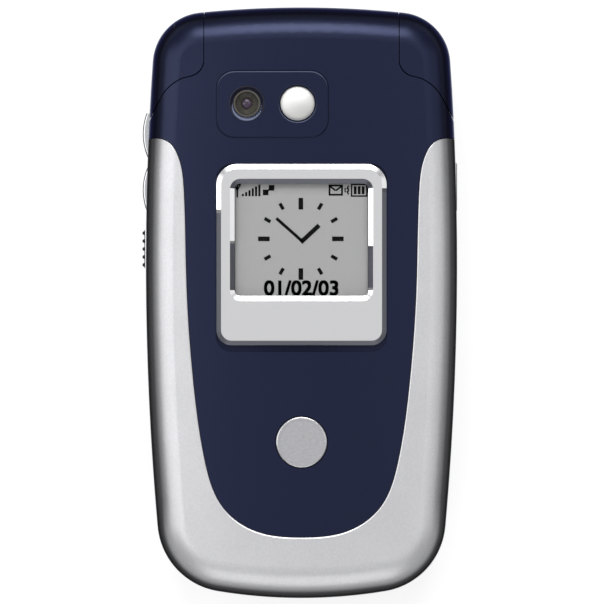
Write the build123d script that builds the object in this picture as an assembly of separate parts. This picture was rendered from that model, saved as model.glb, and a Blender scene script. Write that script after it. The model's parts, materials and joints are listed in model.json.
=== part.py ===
from build123d import *
import os

# Clamshell phone lying on its back with the lid closed. Millimetres.
# +Z runs from the back cover to the lid's outer face, +Y points to the hinge,
# and the origin is the centre of the back face.

# ---- overall form ----
length = 90.0
width = 47.5
base_height = 13.6
lid_gap = 0.3
lid_thickness = 9.7
side_radius = 450.0
widest_y = 6.0
hinge_end_radius = 160.0
foot_end_radius = 80.0
hinge_corner = 8.0
foot_corner = 11.0
back_round = 5.0
rim_round = 0.7
wall = 1.3
fit = 0.12
seam = 0.12

# ---- lid heights ----
lid_floor = base_height + lid_gap
body_thickness = lid_floor + lid_thickness
lid_split = lid_floor + 2.9
inner_plate = 1.2

# ---- hinge ----
barrel_radius = lid_thickness / 2
crown_radius = hinge_end_radius
hinge_y = length / 2 - barrel_radius
hinge_z = body_thickness - barrel_radius
barrel_front = hinge_y - barrel_radius
knuckle_width = 8.85
knuckle_inner = width / 2 - knuckle_width
knuckle_gap = 0.12
knuckle_root_radius = 5.5
knuckle_line = (  # distance from the knuckle's inner face, radius about the hinge axis
    (0, knuckle_root_radius), (0.8, 6.5), (1.6, 6.85), (3.2, 7.1), (4.2, 7.45), (5.4, 8.1), (6.6, 9.35),
    (knuckle_width + 1.05, 14.5))
cartridge_radius = 2.8
cartridge_length = 13.4
cam_radius = 2.3
cam_shaft_radius = 1.2
cam_depth = 4.6
key_flat = 0.7
running_fit = 0.05
sleeve_radius = 2.4
sleeve_bore = 1.7
sleeve_reach = 6.0
flex_width = 4.0

# ---- rear housing, cover and battery ----
side_zone = 7.25
head_zone = 25.0
foot_zone = 17.3
cover_wall = 1.1
cover_half = width / 2 - side_zone
cover_top = length / 2 - head_zone
cover_lip = 5.4
battery_height = 4.5
battery_gap = 0.2
bay_wall = 0.9
bay_roof = 0.8
bay_rim = 0.8
bay_shelf = 1.3
bay_half = cover_half - bay_rim
bay_head = cover_top - bay_shelf
bay_foot = foot_zone - length / 2
battery_width = 2 * (bay_half - battery_gap)
battery_length = bay_head - bay_foot - 2 * battery_gap
battery_y = (bay_head + bay_foot) / 2
battery_z = cover_wall + battery_gap
bay_top = battery_z + battery_height + fit
floor_top = bay_top + bay_roof
base_split = floor_top + 0.28
thumb_rib_count = 5
thumb_rib_pitch = 1.6

# ---- boards and fasteners ----
board_rise = 1.6
board_z = base_split + board_rise
board_thickness = 0.8
board_inset = 3.4
boss_radius = 1.8
screw_radius = 0.8
screw_head_radius = 1.45
screw_head_height = 0.9
contact_pitch = 2.8
head_screw = (width / 2 - 4.85, length / 2 - 13.0)
foot_screw = (width / 2 - 4.45, 19.5 - length / 2)
base_screws = [(side * x, y) for x, y in (head_screw, foot_screw) for side in (-1, 1)]
shield_height = 1.3

# ---- keypad ----
rim_width = 3.0
deck_thickness = 2.2
fascia_thickness = 0.9
fascia_recess = 0.4
fascia_ledge = 1.2
fascia_top_y = length / 2 - 15.5
fascia_corner = 4.0
key_gap = 0.15
key_flange = 0.4
key_travel = 0.3
key_drop = 0.15
key_round = 0.45
nav_y = fascia_top_y - 15.0
digit_block_half = width / 2 - 6.9
digit_block_top = nav_y - 17.6
digit_block_foot = 12.6 - length / 2
column_gap = 1.4
row_gap = 1.5
digit_pitch_x = (2 * digit_block_half + column_gap) / 3
digit_pitch_y = (digit_block_top - digit_block_foot + row_gap) / 4
digit_width = digit_pitch_x - column_gap
digit_height = digit_pitch_y - row_gap
digit_corner = min(2.2, digit_height / 2 - 0.2)
digit_top_y = digit_block_top - digit_height / 2
nav_radius = 9.0
select_radius = 4.1
nav_drop = 0.5
plunger_radius = 1.1
soft_key = (width / 2 - 9.15, fascia_top_y - 6.6, 7.0, 4.8)
call_key = (width / 2 - 9.35, nav_y - 9.9, 7.6, 5.6)
clear_key = (0.0, nav_y - 13.1, 7.2, 4.4)

# ---- side controls and sockets ----
side_clear = 0.35
side_flange = 0.7
side_lap = 0.4
side_play = 0.75
rocker_y = length / 2 - 23.4
rocker_length = 15.0
rocker_lobe_radius = 9.0
rocker_lobe_pitch = 8.6
rocker_proud = 0.9
ribbed_key_y = rocker_y - 13.35
ribbed_key_length = 6.1
ribbed_key_ribs = 5
ribbed_key_proud = 0.7
slim_key_y = rocker_y - 3.85
slim_key_length = 7.5
slim_key_proud = 0.3
jack_z = 5.0
jack_bore = 1.25
jack_radius = 1.95
jack_depth = 11.0
jack_y = bay_foot - bay_wall - jack_radius - 0.55
mic_at = (6.4, 4.8 - length / 2)
mic_radius = 1.6
usb_width = 7.4
usb_height = 3.2
usb_depth = 6.4
usb_metal = 0.35

# ---- lid front ----
shoulder_y = length / 2 - 19.9
panel_foot = 9.4 - length / 2
panel_line = (  # inset from the side, height
    (-0.85, shoulder_y - 0.9), (1.35, shoulder_y - 0.08), (3.5, shoulder_y - 0.65), (5.05, shoulder_y - 2.9),
    (5.92, shoulder_y - 8.1), (6.3, panel_foot + 38.6), (7.34, panel_foot + 23.6), (9.09, panel_foot + 11.6),
    (11.79, panel_foot + 4.6), (16.41, panel_foot + 1.1), (width / 2, panel_foot))
panel_ledge = 1.1
pod_left = 1.9 - knuckle_inner
pod_width = 17.15
pod_right = pod_left + pod_width
pod_top = barrel_front
pod_foot = pod_top - 10.3
pod_corner = 2.8
pod_raise = 0.25
lens_x = pod_left + 4.7
mirror_x = pod_right - 4.75
optics_y = barrel_front - 5.05
bezel_half = 12.9
bezel_top = pod_foot - 4.0
bezel_foot = bezel_top - 27.45
bezel_corner = 2.4
bezel_raise = 0.4
bezel_sink = 0.55
bezel_groove = 0.9
bezel_chamfer = 0.55
window_half = bezel_half - 2.03
window_top = bezel_top - 2.1
window_foot = window_top - 18.7
window_corner = 0.9
window_chamfer = 0.7
window_thickness = 0.8
window_ledge = 0.7
lens_recess_radius = 2.7
lens_radius = 2.07
lens_depth = 0.9
mirror_radius = 2.6
mirror_dome = 0.45
badge_y = panel_foot + 14.45
badge_radius = 3.9
badge_rim = 0.5
badge_sink = 0.9

# ---- lid inside ----
inner_window_head = barrel_front - 15.3
inner_window_foot = 20.0 - length / 2
inner_window = (width - 12.5, inner_window_head - inner_window_foot, (inner_window_head + inner_window_foot) / 2)
inner_window_corner = 2.0
inner_window_thickness = 0.8
inner_view_margin = 2.2
inner_display_height = 2.0
earpiece_y = 12.0 - length / 2
earpiece_length = 12.0
earpiece_width = 7.0
earpiece_height = 2.6
earpiece_slots = 5
earpiece_slot_pitch = 1.9
lid_screw_x = width / 2 - 5.55
lid_screw_y = 15.5 - length / 2
lid_screws_at = [(side * lid_screw_x, lid_screw_y) for side in (-1, 1)]
head_bumpers_at = [(side * (width / 2 - 3.95), inner_window_head - 6.0) for side in (-1, 1)]
lid_bumpers_at = lid_screws_at + head_bumpers_at
bumper_radius = 1.7
bumper_proud = 0.22

parts = {}


# ---- plain shapes ----

def block(x0, x1, y0, y1, z0, z1):
    """Box between two opposite corners."""
    return Pos((x0 + x1) / 2, (y0 + y1) / 2, (z0 + z1) / 2) * Box(x1 - x0, y1 - y0, z1 - z0)


def prism(sketch, z0, z1):
    """Flat sketch raised from z0 to z1."""
    return extrude(Pos(0, 0, z0) * sketch, z1 - z0)


def disc(x, y, radius, z0, z1):
    """Upright round piece."""
    return Pos(x, y, (z0 + z1) / 2) * Cylinder(radius, z1 - z0)


def rod(x0, x1, y, z, radius):
    """Round piece lying along X."""
    return Pos((x0 + x1) / 2, y, z) * Rot(0, 90, 0) * Cylinder(radius, abs(x1 - x0))


def plate(x, y, size_x, size_y, corner):
    """Rounded rectangle centred at x, y."""
    return Pos(x, y) * RectangleRounded(size_x, size_y, corner)


def both_sides(shape):
    """The shape with its mirror image across the middle plane."""
    return shape + mirror(shape, Plane.YZ)


def export(name, shape):
    """Keep a finished piece for writing."""
    parts[name] = shape


# ---- outer form ----

def outline(inset):
    """Plan of the closed phone: four arcs with rounded corners, drawn in by inset."""
    hinge_arc = Pos(0, length / 2 - hinge_end_radius) * Circle(hinge_end_radius - inset)
    foot_arc = Pos(0, foot_end_radius - length / 2) * Circle(foot_end_radius - inset)
    side_x = side_radius - width / 2
    right_arc = Pos(-side_x, widest_y) * Circle(side_radius - inset)
    left_arc = Pos(side_x, widest_y) * Rot(0, 0, 180) * Circle(side_radius - inset)
    shape = hinge_arc & foot_arc & right_arc & left_arc
    shape = fillet([v for v in shape.vertices() if v.Y > length / 4], hinge_corner - inset)
    return fillet([v for v in shape.vertices() if v.Y < -length / 4 and abs(v.X) > width / 3],
                  foot_corner - inset)


def half_width(y):
    """Half of the phone's width at y, away from the rounded ends."""
    return width / 2 - side_radius + (side_radius ** 2 - (y - widest_y) ** 2) ** 0.5


def lower_form(inset, top):
    """Base solid up to top, with its back edge rounded."""
    body = prism(outline(inset), inset, top)
    return fillet(body.faces().sort_by(Axis.Z)[0].edges(), back_round - inset)


def crown(grow):
    """Long cylinder whose upper side is the lid's crowned face."""
    return (Pos(0, 0, body_thickness - crown_radius) * Rot(90, 0, 0)
            * Cylinder(crown_radius + grow, 2 * length))


def crown_height(x):
    """Height of the lid's outer face at x."""
    return body_thickness - crown_radius + (crown_radius ** 2 - x ** 2) ** 0.5


def upper_form(inset, floor):
    """Lid and knuckle solid from floor up, crowned, with its outer edge rounded like the barrel."""
    body = prism(outline(inset), floor, body_thickness + 1) & crown(-inset)
    return fillet(body.faces().sort_by(Axis.Z)[-1].edges(), barrel_radius - inset)


def knuckle_zone(grow):
    """Space of both knuckles: a flared profile turned about the hinge axis."""
    flare = [(knuckle_inner + x - grow, r + grow) for x, r in knuckle_line]
    start = (flare[0][0], 0)
    end = (flare[-1][0], 0)
    profile = make_face([Line(start, flare[0]), Spline(*flare), Line(flare[-1], end), Line(end, start)])
    return both_sides(Pos(0, hinge_y, hinge_z) * revolve(profile, Axis.X))


def barrel(grow):
    """Crowned hinge barrel between the knuckles."""
    arc = Pos(0, barrel_radius - crown_radius) * Circle(crown_radius + grow)
    side = knuckle_inner - knuckle_gap + grow
    profile = arc & Pos(0, barrel_radius) * Rectangle(2 * side, 2 * barrel_radius)
    return Pos(0, hinge_y, hinge_z) * revolve(profile, Axis.X)


# ---- rear housing ----
speaker_at = (width / 2 - 14.25, length / 2 - 12.5)
speaker_radius = 6.5
speaker_height = 2.8
speaker_slots = 4
speaker_slot_pitch = 2.2
screw_seat = 2.6


def cover_space(grow):
    """Room of the battery cover in plan and height."""
    return block(-cover_half - grow, cover_half + grow, -length / 2 - 1, cover_top + grow,
                 -1, cover_lip + grow)


def rear_housing():
    """Back shell with the battery bay, the cover's recess, screw posts and speaker slots."""
    shell = lower_form(0, base_split)
    bay_block = block(-bay_half - bay_wall, bay_half + bay_wall, bay_foot - bay_wall,
                      bay_head + bay_wall, -1, floor_top)
    under_cover = cover_space(wall) - lower_form(cover_wall + fit + wall, base_split + 1)
    cavity = lower_form(wall, base_split + 1) - bay_block - under_cover
    shell -= cavity
    shell -= cover_space(fit) - lower_form(cover_wall + fit, base_split + 1)
    shell -= block(-bay_half, bay_half, bay_foot, bay_head, -1, bay_top)
    posts = Part() + [disc(x, y, boss_radius, wall / 2, board_z) for x, y in base_screws]
    shell += posts & lower_form(wall / 2, base_height)
    for x, y in base_screws:
        shell -= disc(x, y, screw_head_radius + fit, -1, screw_seat)
        shell -= disc(x, y, screw_radius + fit, -1, board_z + 1)
    shell -= rod(half_width(jack_y) - wall - 1, width, jack_y, jack_z, jack_radius - 0.15)
    window = 1.5 * contact_pitch
    shell -= block(-window, window, bay_head - 0.1, bay_head + bay_wall + 0.1, battery_z + 0.8, battery_z + 3.8)
    speaker_x, speaker_y = speaker_at
    for k in range(speaker_slots):
        slot_y = speaker_y + (k - (speaker_slots - 1) / 2) * speaker_slot_pitch
        shell -= prism(plate(speaker_x, slot_y, 8.0, 0.9, 0.44), -1, wall + 1)
    return shell


def battery_cover():
    """Sliding cover that wraps the foot end, with thumb ribs on its outer face."""
    cover = lower_form(0, base_split) - lower_form(cover_wall, base_split + 1)
    cover &= cover_space(0)
    for k in range(thumb_rib_count):
        rib_y = cover_top - 4.0 - k * thumb_rib_pitch
        cover -= prism(plate(0, rib_y, 14.0, 0.7, 0.34), -1, 0.35)
    return cover


def battery_pack():
    """Slim cell pack with rounded edges and recessed contacts."""
    body = prism(plate(0, battery_y, battery_width, battery_length, 1.5), battery_z,
                 battery_z + battery_height)
    body = fillet(body.edges().filter_by(GeomType.LINE).filter_by(Axis.Y), 0.8)
    for k in range(3):
        x = (k - 1) * contact_pitch
        body -= block(x - 0.9, x + 0.9, battery_y + battery_length / 2 - 0.5,
                      battery_y + battery_length / 2 + 1, battery_z + 1.4, battery_z + 3.2)
    return body


def base_bosses(z0, z1, radius):
    """Round pieces at the four screws of the base."""
    return Part() + [disc(x, y, radius, z0, z1) for x, y in base_screws]


def screw(x, y, seat, tip):
    """Pan-head screw driven towards +Z with a cross recess in its head."""
    head = disc(x, y, screw_head_radius, seat - screw_head_height, seat)
    slot = block(x - 1.0, x + 1.0, y - 0.2, y + 0.2, seat - 1, seat - screw_head_height + 0.45)
    cross = slot + Pos(x, y) * Rot(0, 0, 90) * Pos(-x, -y) * slot
    return head + disc(x, y, screw_radius - 0.05, seat, tip) - cross


# ---- front housing ----
deck_floor = base_height - deck_thickness
fascia_top = base_height - fascia_recess
fascia_floor = fascia_top - fascia_thickness
key_top = base_height - key_drop
side_key_foot = base_split + seam + side_lap + side_clear
side_key_height = deck_floor - side_lap - side_clear - side_key_foot
usb_z = (base_split + seam + deck_floor) / 2
usb_front = wall + 0.15 - length / 2


def fascia_plan(inset):
    """Keypad area: the phone's plan inside the rim, cut off straight towards the hinge."""
    shape = outline(rim_width + inset) & Pos(0, fascia_top_y - inset - length / 2) * Rectangle(width, length)
    corners = [v for v in shape.vertices() if v.Y > fascia_top_y - inset - 0.1]
    return fillet(corners, fascia_corner - inset)


def side_opening(side, y, span, grow):
    """Slot through a side wall for a key; side is -1 for left and 1 for right."""
    x0, x1 = sorted((side * (half_width(y) - wall - 0.6), side * (half_width(y) + 1)))
    return block(x0, x1, y - span / 2 - grow, y + span / 2 + grow, side_key_foot - grow,
                 side_key_foot + side_key_height + grow)


def knuckles():
    """Two knuckles that close the hinge corners, with sockets for the hinge's pins."""
    body = upper_form(0, base_height - 1) & knuckle_zone(0)
    cam_end = knuckle_inner + cam_depth
    cam_socket = rod(knuckle_inner - 1, cam_end, hinge_y, hinge_z, cam_radius + running_fit)
    cam_socket &= block(0, width, 0, length, hinge_z - cam_radius + key_flat - running_fit, length)
    body -= cam_socket
    sleeve_end = -knuckle_inner - cam_depth
    body -= rod(sleeve_end, -knuckle_inner + 1, hinge_y, hinge_z, sleeve_radius + running_fit)
    return body


def front_housing():
    """Keypad-side shell with the knuckles, the fascia's seat and every side opening."""
    shell = prism(outline(0), base_split + seam, base_height)
    shell = fillet(shell.faces().sort_by(Axis.Z)[-1].edges(), rim_round)
    shell -= prism(outline(wall), base_split, deck_floor)
    shell -= prism(fascia_plan(0), fascia_floor, base_height + 1)
    shell -= prism(fascia_plan(fascia_ledge), deck_floor - 1, base_height)
    shell += knuckles()
    bosses = base_bosses(board_z + board_thickness, deck_floor + fascia_ledge / 2, boss_radius)
    shell += bosses
    shell -= base_bosses(board_z, deck_floor, screw_radius)
    shell -= side_opening(-1, rocker_y, rocker_length, key_gap)
    shell -= side_opening(-1, ribbed_key_y, ribbed_key_length, key_gap)
    shell -= side_opening(1, slim_key_y, slim_key_length, key_gap)
    port = plate(0, usb_z, usb_width - 0.2, usb_height - 0.2, 0.6)
    shell -= extrude(Plane.XZ.offset(length / 2 + 1) * port, -wall - 3)
    socket_half = usb_width / 2 + fit
    shell -= block(-socket_half, socket_half, usb_front - fit, usb_front + usb_depth + fit, base_split,
                   usb_z + usb_height / 2 + fit)
    shell -= disc(*mic_at, 0.5, deck_floor - 1, base_height + 1)
    return shell


# ---- keypad ----

def digit_places():
    """Name and centre of every key in the number block."""
    names = ("1", "2", "3", "4", "5", "6", "7", "8", "9", "star", "0", "hash")
    return [("key_" + name, (k % 3 - 1) * digit_pitch_x, digit_top_y - (k // 3) * digit_pitch_y)
            for k, name in enumerate(names)]


def key_plans():
    """Outer plan of every key on the fascia, by name."""
    plans = {}
    for name, x, y in digit_places():
        plans[name] = plate(x, y, digit_width, digit_height, digit_corner)
    for side, tag in ((-1, "left"), (1, "right")):
        x, y, size_x, size_y = soft_key
        plans["soft_key_" + tag] = plate(side * x, y, size_x, size_y, 1.8)
    x, y, size_x, size_y = call_key
    plans["send_key"] = plate(-x, y, size_x, size_y, 2.4)
    plans["end_key"] = plate(x, y, size_x, size_y, 2.4)
    x, y, size_x, size_y = clear_key
    plans["clear_key"] = plate(x, y, size_x, size_y, 2.0)
    return plans


def key(plan, drop):
    """Key cap with a rounded crown, a retaining flange under the fascia and a plunger."""
    cap = prism(plan, fascia_floor - key_drop - drop, key_top)
    cap = fillet(cap.faces().sort_by(Axis.Z)[-1].edges(), key_round)
    flange_top = fascia_floor - key_drop - drop
    flange = prism(offset(plan, key_flange), flange_top - 0.4, flange_top)
    return cap + flange


def plunger(x, y, drop):
    """Nub under a key that works its dome."""
    top = fascia_floor - key_drop - drop - 0.2
    return disc(x, y, plunger_radius, dome_top + key_travel + 0.05, top)


dome_base = board_z + board_thickness
dome_top = dome_base + 0.3


def keypad():
    """All keys of the fascia, and the dome sheet under them."""
    centres = []
    for name, plan in key_plans().items():
        centre = plan.center()
        centres.append((centre.X, centre.Y))
        export(name, key(plan, 0) + plunger(centre.X, centre.Y, 0))
    ring = key(Pos(0, nav_y) * Circle(nav_radius), nav_drop)
    ring -= disc(0, nav_y, select_radius + 2 * key_gap, dome_base, base_height)
    nubs = [(0, 6.6), (6.6, 0), (0, -6.6), (-6.6, 0)]
    for x, y in nubs:
        ring += plunger(x, nav_y + y, nav_drop)
        centres.append((x, nav_y + y))
    export("nav_ring", ring)
    cap = prism(Pos(0, nav_y) * Circle(select_radius), fascia_floor - 1.3, key_top)
    cap = fillet(cap.faces().sort_by(Axis.Z)[-1].edges(), key_round)
    centres.append((0, nav_y))
    export("select_key", cap + disc(0, nav_y, plunger_radius, dome_top + key_travel + 0.05, fascia_floor))
    half = digit_block_half + 0.4
    sheet = block(-half, half, digit_block_foot - 1.6, fascia_top_y - 1.5, dome_base, dome_base + 0.12)
    for x, y in centres:
        sheet += Pos(x, y, dome_base) * Cone(2.2, 1.2, dome_top - dome_base,
                                            align=(Align.CENTER, Align.CENTER, Align.MIN))
    export("dome_sheet", sheet)


def keypad_fascia():
    """Plate round the keys, with a shallow dish round the navigation ring."""
    body = prism(fascia_plan(fit), fascia_floor, fascia_top)
    for plan in key_plans().values():
        body -= prism(offset(plan, key_gap), fascia_floor - 1, fascia_top + 1)
    body -= disc(0, nav_y, nav_radius + 2 * key_gap, fascia_floor - 1, fascia_top + 1)
    body -= disc(*mic_at, 0.5, fascia_floor - 1, base_height)
    return body


# ---- side keys ----

def side_bar(side, y, span):
    """Retaining bar of a side key behind the wall."""
    x = half_width(y) - wall - side_play
    x0, x1 = sorted((side * (x - side_flange), side * x))
    return block(x0, x1, y - span / 2 - side_lap, y + span / 2 + side_lap, side_key_foot - side_lap,
                 side_key_foot + side_key_height + side_lap)


def side_stem(side, y, span, proud):
    """Plain finger piece of a side key with rounded outer edges."""
    x0, x1 = sorted((side * (half_width(y) - wall - side_play - 0.2), side * (half_width(y) + proud)))
    body = block(x0, x1, y - span / 2, y + span / 2, side_key_foot, side_key_foot + side_key_height)
    outer = body.faces().sort_by(Axis.X)[-1 if side > 0 else 0]
    return fillet(outer.edges(), min(0.35, proud * 0.8))


def volume_rocker():
    """Two-lobed rocker: each lobe is an arc, with a waist between them."""
    x = half_width(rocker_y)
    half = rocker_length / 2
    lobes = Sketch()
    for sign in (-1, 1):
        centre = -(x + rocker_proud) + rocker_lobe_radius
        lobes += Pos(centre, rocker_y + sign * rocker_lobe_pitch / 2) * Circle(rocker_lobe_radius)
    window = Pos(-x, rocker_y) * Rectangle(2 * (wall + side_play + 0.2), 2 * half)
    body = prism(lobes & window, side_key_foot, side_key_foot + side_key_height)
    rims = body.faces().filter_by(Axis.Z).edges().filter_by(GeomType.CIRCLE)
    return fillet(rims, 0.3) + side_bar(-1, rocker_y, rocker_length)


def ribbed_side_key():
    """Side key with upright grip ribs."""
    proud = ribbed_key_proud - 0.3
    body = side_stem(-1, ribbed_key_y, ribbed_key_length, proud)
    pitch = ribbed_key_length / ribbed_key_ribs
    face_x = -half_width(ribbed_key_y) - proud
    for k in range(ribbed_key_ribs):
        y = ribbed_key_y + (k - (ribbed_key_ribs - 1) / 2) * pitch
        body += disc(face_x, y, 0.3, side_key_foot + 0.3, side_key_foot + side_key_height - 0.3)
    return body + side_bar(-1, ribbed_key_y, ribbed_key_length)


def slim_side_key():
    """Slim key on the right side."""
    return side_stem(1, slim_key_y, slim_key_length, slim_key_proud) + side_bar(1, slim_key_y, slim_key_length)


# ---- electronics of the base ----

def main_board():
    """Circuit board cut round the posts, the sockets and the side keys."""
    board = prism(outline(board_inset) & Pos(0, -3.0) * Rectangle(width, length - 14.0), board_z,
                  board_z + board_thickness)
    for x, y in base_screws:
        board -= disc(x, y, screw_radius + 0.25, board_z - 1, board_z + 2)
    board -= block(-usb_width / 2 - 0.4, usb_width / 2 + 0.4, -length / 2, usb_front + usb_depth + 0.4,
                   board_z - 1, board_z + 2)
    return board


def shield_cans():
    """Three drawn metal cans soldered under the board."""
    top = board_z
    foot = board_z - shield_height
    cans = Part()
    cans_top = bay_head + 0.3
    places = ((-7.5, cans_top - 10.0, 15.0, 20.0), (8.8, cans_top - 7.0, 13.0, 14.0),
              (0.0, battery_y - 11.5, 26.0, 17.0))
    for x, y, size_x, size_y in places:
        can = prism(plate(x, y, size_x, size_y, 0.8), foot, top)
        can -= prism(plate(x, y, size_x - 0.5, size_y - 0.5, 0.5), foot + 0.25, top + 1)
        cans += can
    return cans


def headset_jack():
    """Socket for a 2.5 mm plug, opening through the right wall."""
    mouth = half_width(jack_y) - 0.45
    inner = half_width(jack_y) - wall - 0.8
    body = rod(inner - jack_depth - 1.0, inner, jack_y, jack_z, jack_radius)
    body += rod(inner - 0.5, mouth, jack_y, jack_z, jack_radius - 0.2 - fit)
    return body - rod(mouth - jack_depth, mouth + 1, jack_y, jack_z, jack_bore + running_fit)


def usb_port():
    """Metal-shelled socket at the foot end with its contact tongue."""
    front = usb_front
    shell = plate(0, usb_z, usb_width, usb_height, 0.7)
    hollow = plate(0, usb_z, usb_width - 2 * usb_metal, usb_height - 2 * usb_metal, 0.4)
    body = extrude(Plane.XZ.offset(-front) * shell, -usb_depth)
    body -= extrude(Plane.XZ.offset(-front + 1) * hollow, -usb_depth)
    tongue = block(-usb_width / 4, usb_width / 4, front + 1.2, front + usb_depth - 0.5,
                   usb_z - 0.35, usb_z + 0.35)
    return body + tongue


def loudspeaker():
    """Round speaker with a raised magnet."""
    x, y = speaker_at
    foot = wall + 0.2
    body = disc(x, y, speaker_radius, foot, foot + speaker_height - 1.0)
    body += disc(x, y, speaker_radius - 2.0, foot, foot + speaker_height)
    return chamfer(body.edges().sort_by(Axis.Z)[-1], 0.3)


motor_at = (side_zone - width / 2, length / 2 - 13.5, 4.4)
motor_radius = 2.0
motor_length = 8.4
weight_radius = 2.2


def vibration_motor():
    """Small cylinder motor with its end bearing."""
    x, y, z = motor_at
    body = rod(x, x + motor_length, y, z, motor_radius)
    body += rod(x + motor_length - 0.1, x + motor_length + 0.5, y, z, 0.9)
    return body - rod(x + motor_length - 3.0, x + motor_length + 1, y, z, 0.4 + running_fit)


def vibration_weight():
    """Half-round weight on the motor's shaft."""
    x, y, z = motor_at
    start = x + motor_length + 0.7
    weight = rod(start, start + 3.4, y, z, weight_radius) - block(start - 1, start + 4, y - 3, y + 3, z + 0.5, z + 3)
    return weight + rod(x + motor_length - 2.6, start + 3.4, y, z, 0.4)


def antenna():
    """Moulded carrier across the hinge end that holds the antenna's plated track."""
    carrier = outline(wall + 0.5) & Pos(0, length / 2) * Rectangle(width, 13.0)
    body = prism(carrier, floor_top - 1.6, base_split - 0.3)
    return body - prism(carrier & Pos(0, length / 2 - 6.0) * Rectangle(width - 14.0, 7.0),
                        floor_top - 0.9, base_split)


def battery_contacts():
    """Three sprung fingers that meet the pack's end."""
    fingers = Part()
    back = bay_head + bay_wall + 1.2
    for k in range(3):
        x = (k - 1) * contact_pitch
        finger = block(x - 0.6, x + 0.6, bay_head - 0.4, back, battery_z + 1.6, battery_z + 2.0)
        fingers += finger + block(x - 0.6, x + 0.6, back - 0.4, back, battery_z + 1.6, board_z)
    return fingers


def sim_card_holder():
    """Sheet-metal holder on the board above the bay."""
    y = 11.2 - length / 2
    body = prism(plate(0, y, 17.0, 5.4, 0.8), board_z - 1.4, board_z)
    return body - block(-7.6, 7.6, y - 2.2, y + 4, board_z - 1.1, board_z - 0.35)


def microphone():
    """Round capsule under its sound hole."""
    return disc(*mic_at, mic_radius, board_z + board_thickness + 0.1, deck_floor - 0.1)


# ---- hinge pieces ----

def keyed_rod(x0, x1, radius, flat):
    """Rod on the hinge axis with a flat along its underside."""
    body = rod(x0, x1, hinge_y, hinge_z, radius)
    return body & block(-width, width, 0, length, hinge_z - radius + flat, length)


cartridge_end = knuckle_inner - knuckle_gap - 0.1
cartridge_start = cartridge_end - cartridge_length


def hinge_cartridge():
    """Spring cartridge keyed into the right end of the barrel."""
    body = keyed_rod(cartridge_start, cartridge_end, cartridge_radius, key_flat)
    bore = rod(cartridge_start + 2.0, width, hinge_y, hinge_z, cam_shaft_radius + running_fit)
    return chamfer((body - bore).edges().sort_by(Axis.X)[:2], 0.4)


def hinge_cam():
    """Keyed follower that sits in the right knuckle and reaches into the cartridge."""
    head = keyed_rod(knuckle_inner - 0.05, knuckle_inner + cam_depth - 0.1, cam_radius, key_flat)
    shaft = rod(cartridge_start + 2.4, knuckle_inner + 1, hinge_y, hinge_z, cam_shaft_radius)
    return head + shaft


def hinge_sleeve():
    """Hollow pin of the left knuckle, which lets the flex cable through."""
    x0 = -knuckle_inner - cam_depth + 0.1
    x1 = -knuckle_inner + sleeve_reach
    body = rod(x0, x1, hinge_y, hinge_z, sleeve_radius) - rod(x0 - 1, x1 + 1, hinge_y, hinge_z, sleeve_bore)
    return body


# ---- lid ----

def panel_zone(grow):
    """Plan of the dark part of the lid: full width above the shoulder, a tapered tongue below.
    Each point of its line is moved by grow along the line's outward direction there."""
    right = [Vector(width / 2 - inset, y) for inset, y in panel_line]
    points = [Vector(-p.X, p.Y) for p in right] + right[-2::-1]
    moved = []
    for k, point in enumerate(points):
        along = (points[min(k + 1, len(points) - 1)] - points[max(k - 1, 0)]).normalized()
        moved.append(point + Vector(along.Y, -along.X) * grow)
    ends = [(moved[-1].X, length), (moved[0].X, length)]
    return make_face([Spline(*moved), Line(moved[-1], ends[0]), Line(*ends), Line(ends[1], moved[0])])


def lid_shell():
    """Hollow lid, cut clear of the knuckles, with the hinge barrel along its end."""
    body = upper_form(0, lid_floor)
    body = fillet(body.faces().sort_by(Axis.Z)[0].edges(), rim_round)
    behind = block(-width, width, hinge_y, length, lid_floor - 1, hinge_z) - barrel(0)
    room = upper_form(wall, lid_floor + inner_plate)
    room &= block(-width, width, -length, barrel_front, 0, body_thickness)
    room -= knuckle_zone(knuckle_gap + wall)
    body = body - behind - room - knuckle_zone(knuckle_gap)
    bore = keyed_rod(cartridge_start - 0.1, width, cartridge_radius + running_fit, key_flat)
    bore += rod(-width, -knuckle_inner + sleeve_reach + 0.2, hinge_y, hinge_z, sleeve_radius + running_fit)
    passage = -knuckle_inner + sleeve_reach + flex_width
    bore += rod(-width, passage, hinge_y, hinge_z, sleeve_bore)
    bore += block(passage - flex_width, passage, barrel_front - wall - 1, hinge_y, hinge_z - 0.6, hinge_z + 0.6)
    return body - bore


def outer_band(shell):
    """Upper part of the lid, above the seam with the inner housing, and the whole barrel."""
    low = block(-width, width, -length, barrel_front - fit, 0, lid_split + seam)
    return shell - low


def bezel_plan(grow, groove):
    """Outline of the display bezel; groove lengthens it towards the foot."""
    foot = bezel_foot - groove
    centre = (bezel_top + foot) / 2
    return plate(0, centre, 2 * (bezel_half + grow), bezel_top - foot + 2 * grow, bezel_corner + grow)


def window_plan(grow):
    """Outline of the opening in the display bezel."""
    centre = (window_top + window_foot) / 2
    return plate(0, centre, 2 * (window_half + grow), window_top - window_foot + 2 * grow, window_corner + grow)


bezel_seat = crown_height(bezel_half) - bezel_sink
bezel_face = body_thickness + bezel_raise
window_face = bezel_face - window_chamfer - 0.05
pod_centre = ((pod_left + pod_right) / 2, (pod_foot + pod_top) / 2)
lens_rim = crown_height(lens_x) + pod_raise
mirror_rim = crown_height(mirror_x) + pod_raise
mirror_floor = mirror_rim - 1.1


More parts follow.
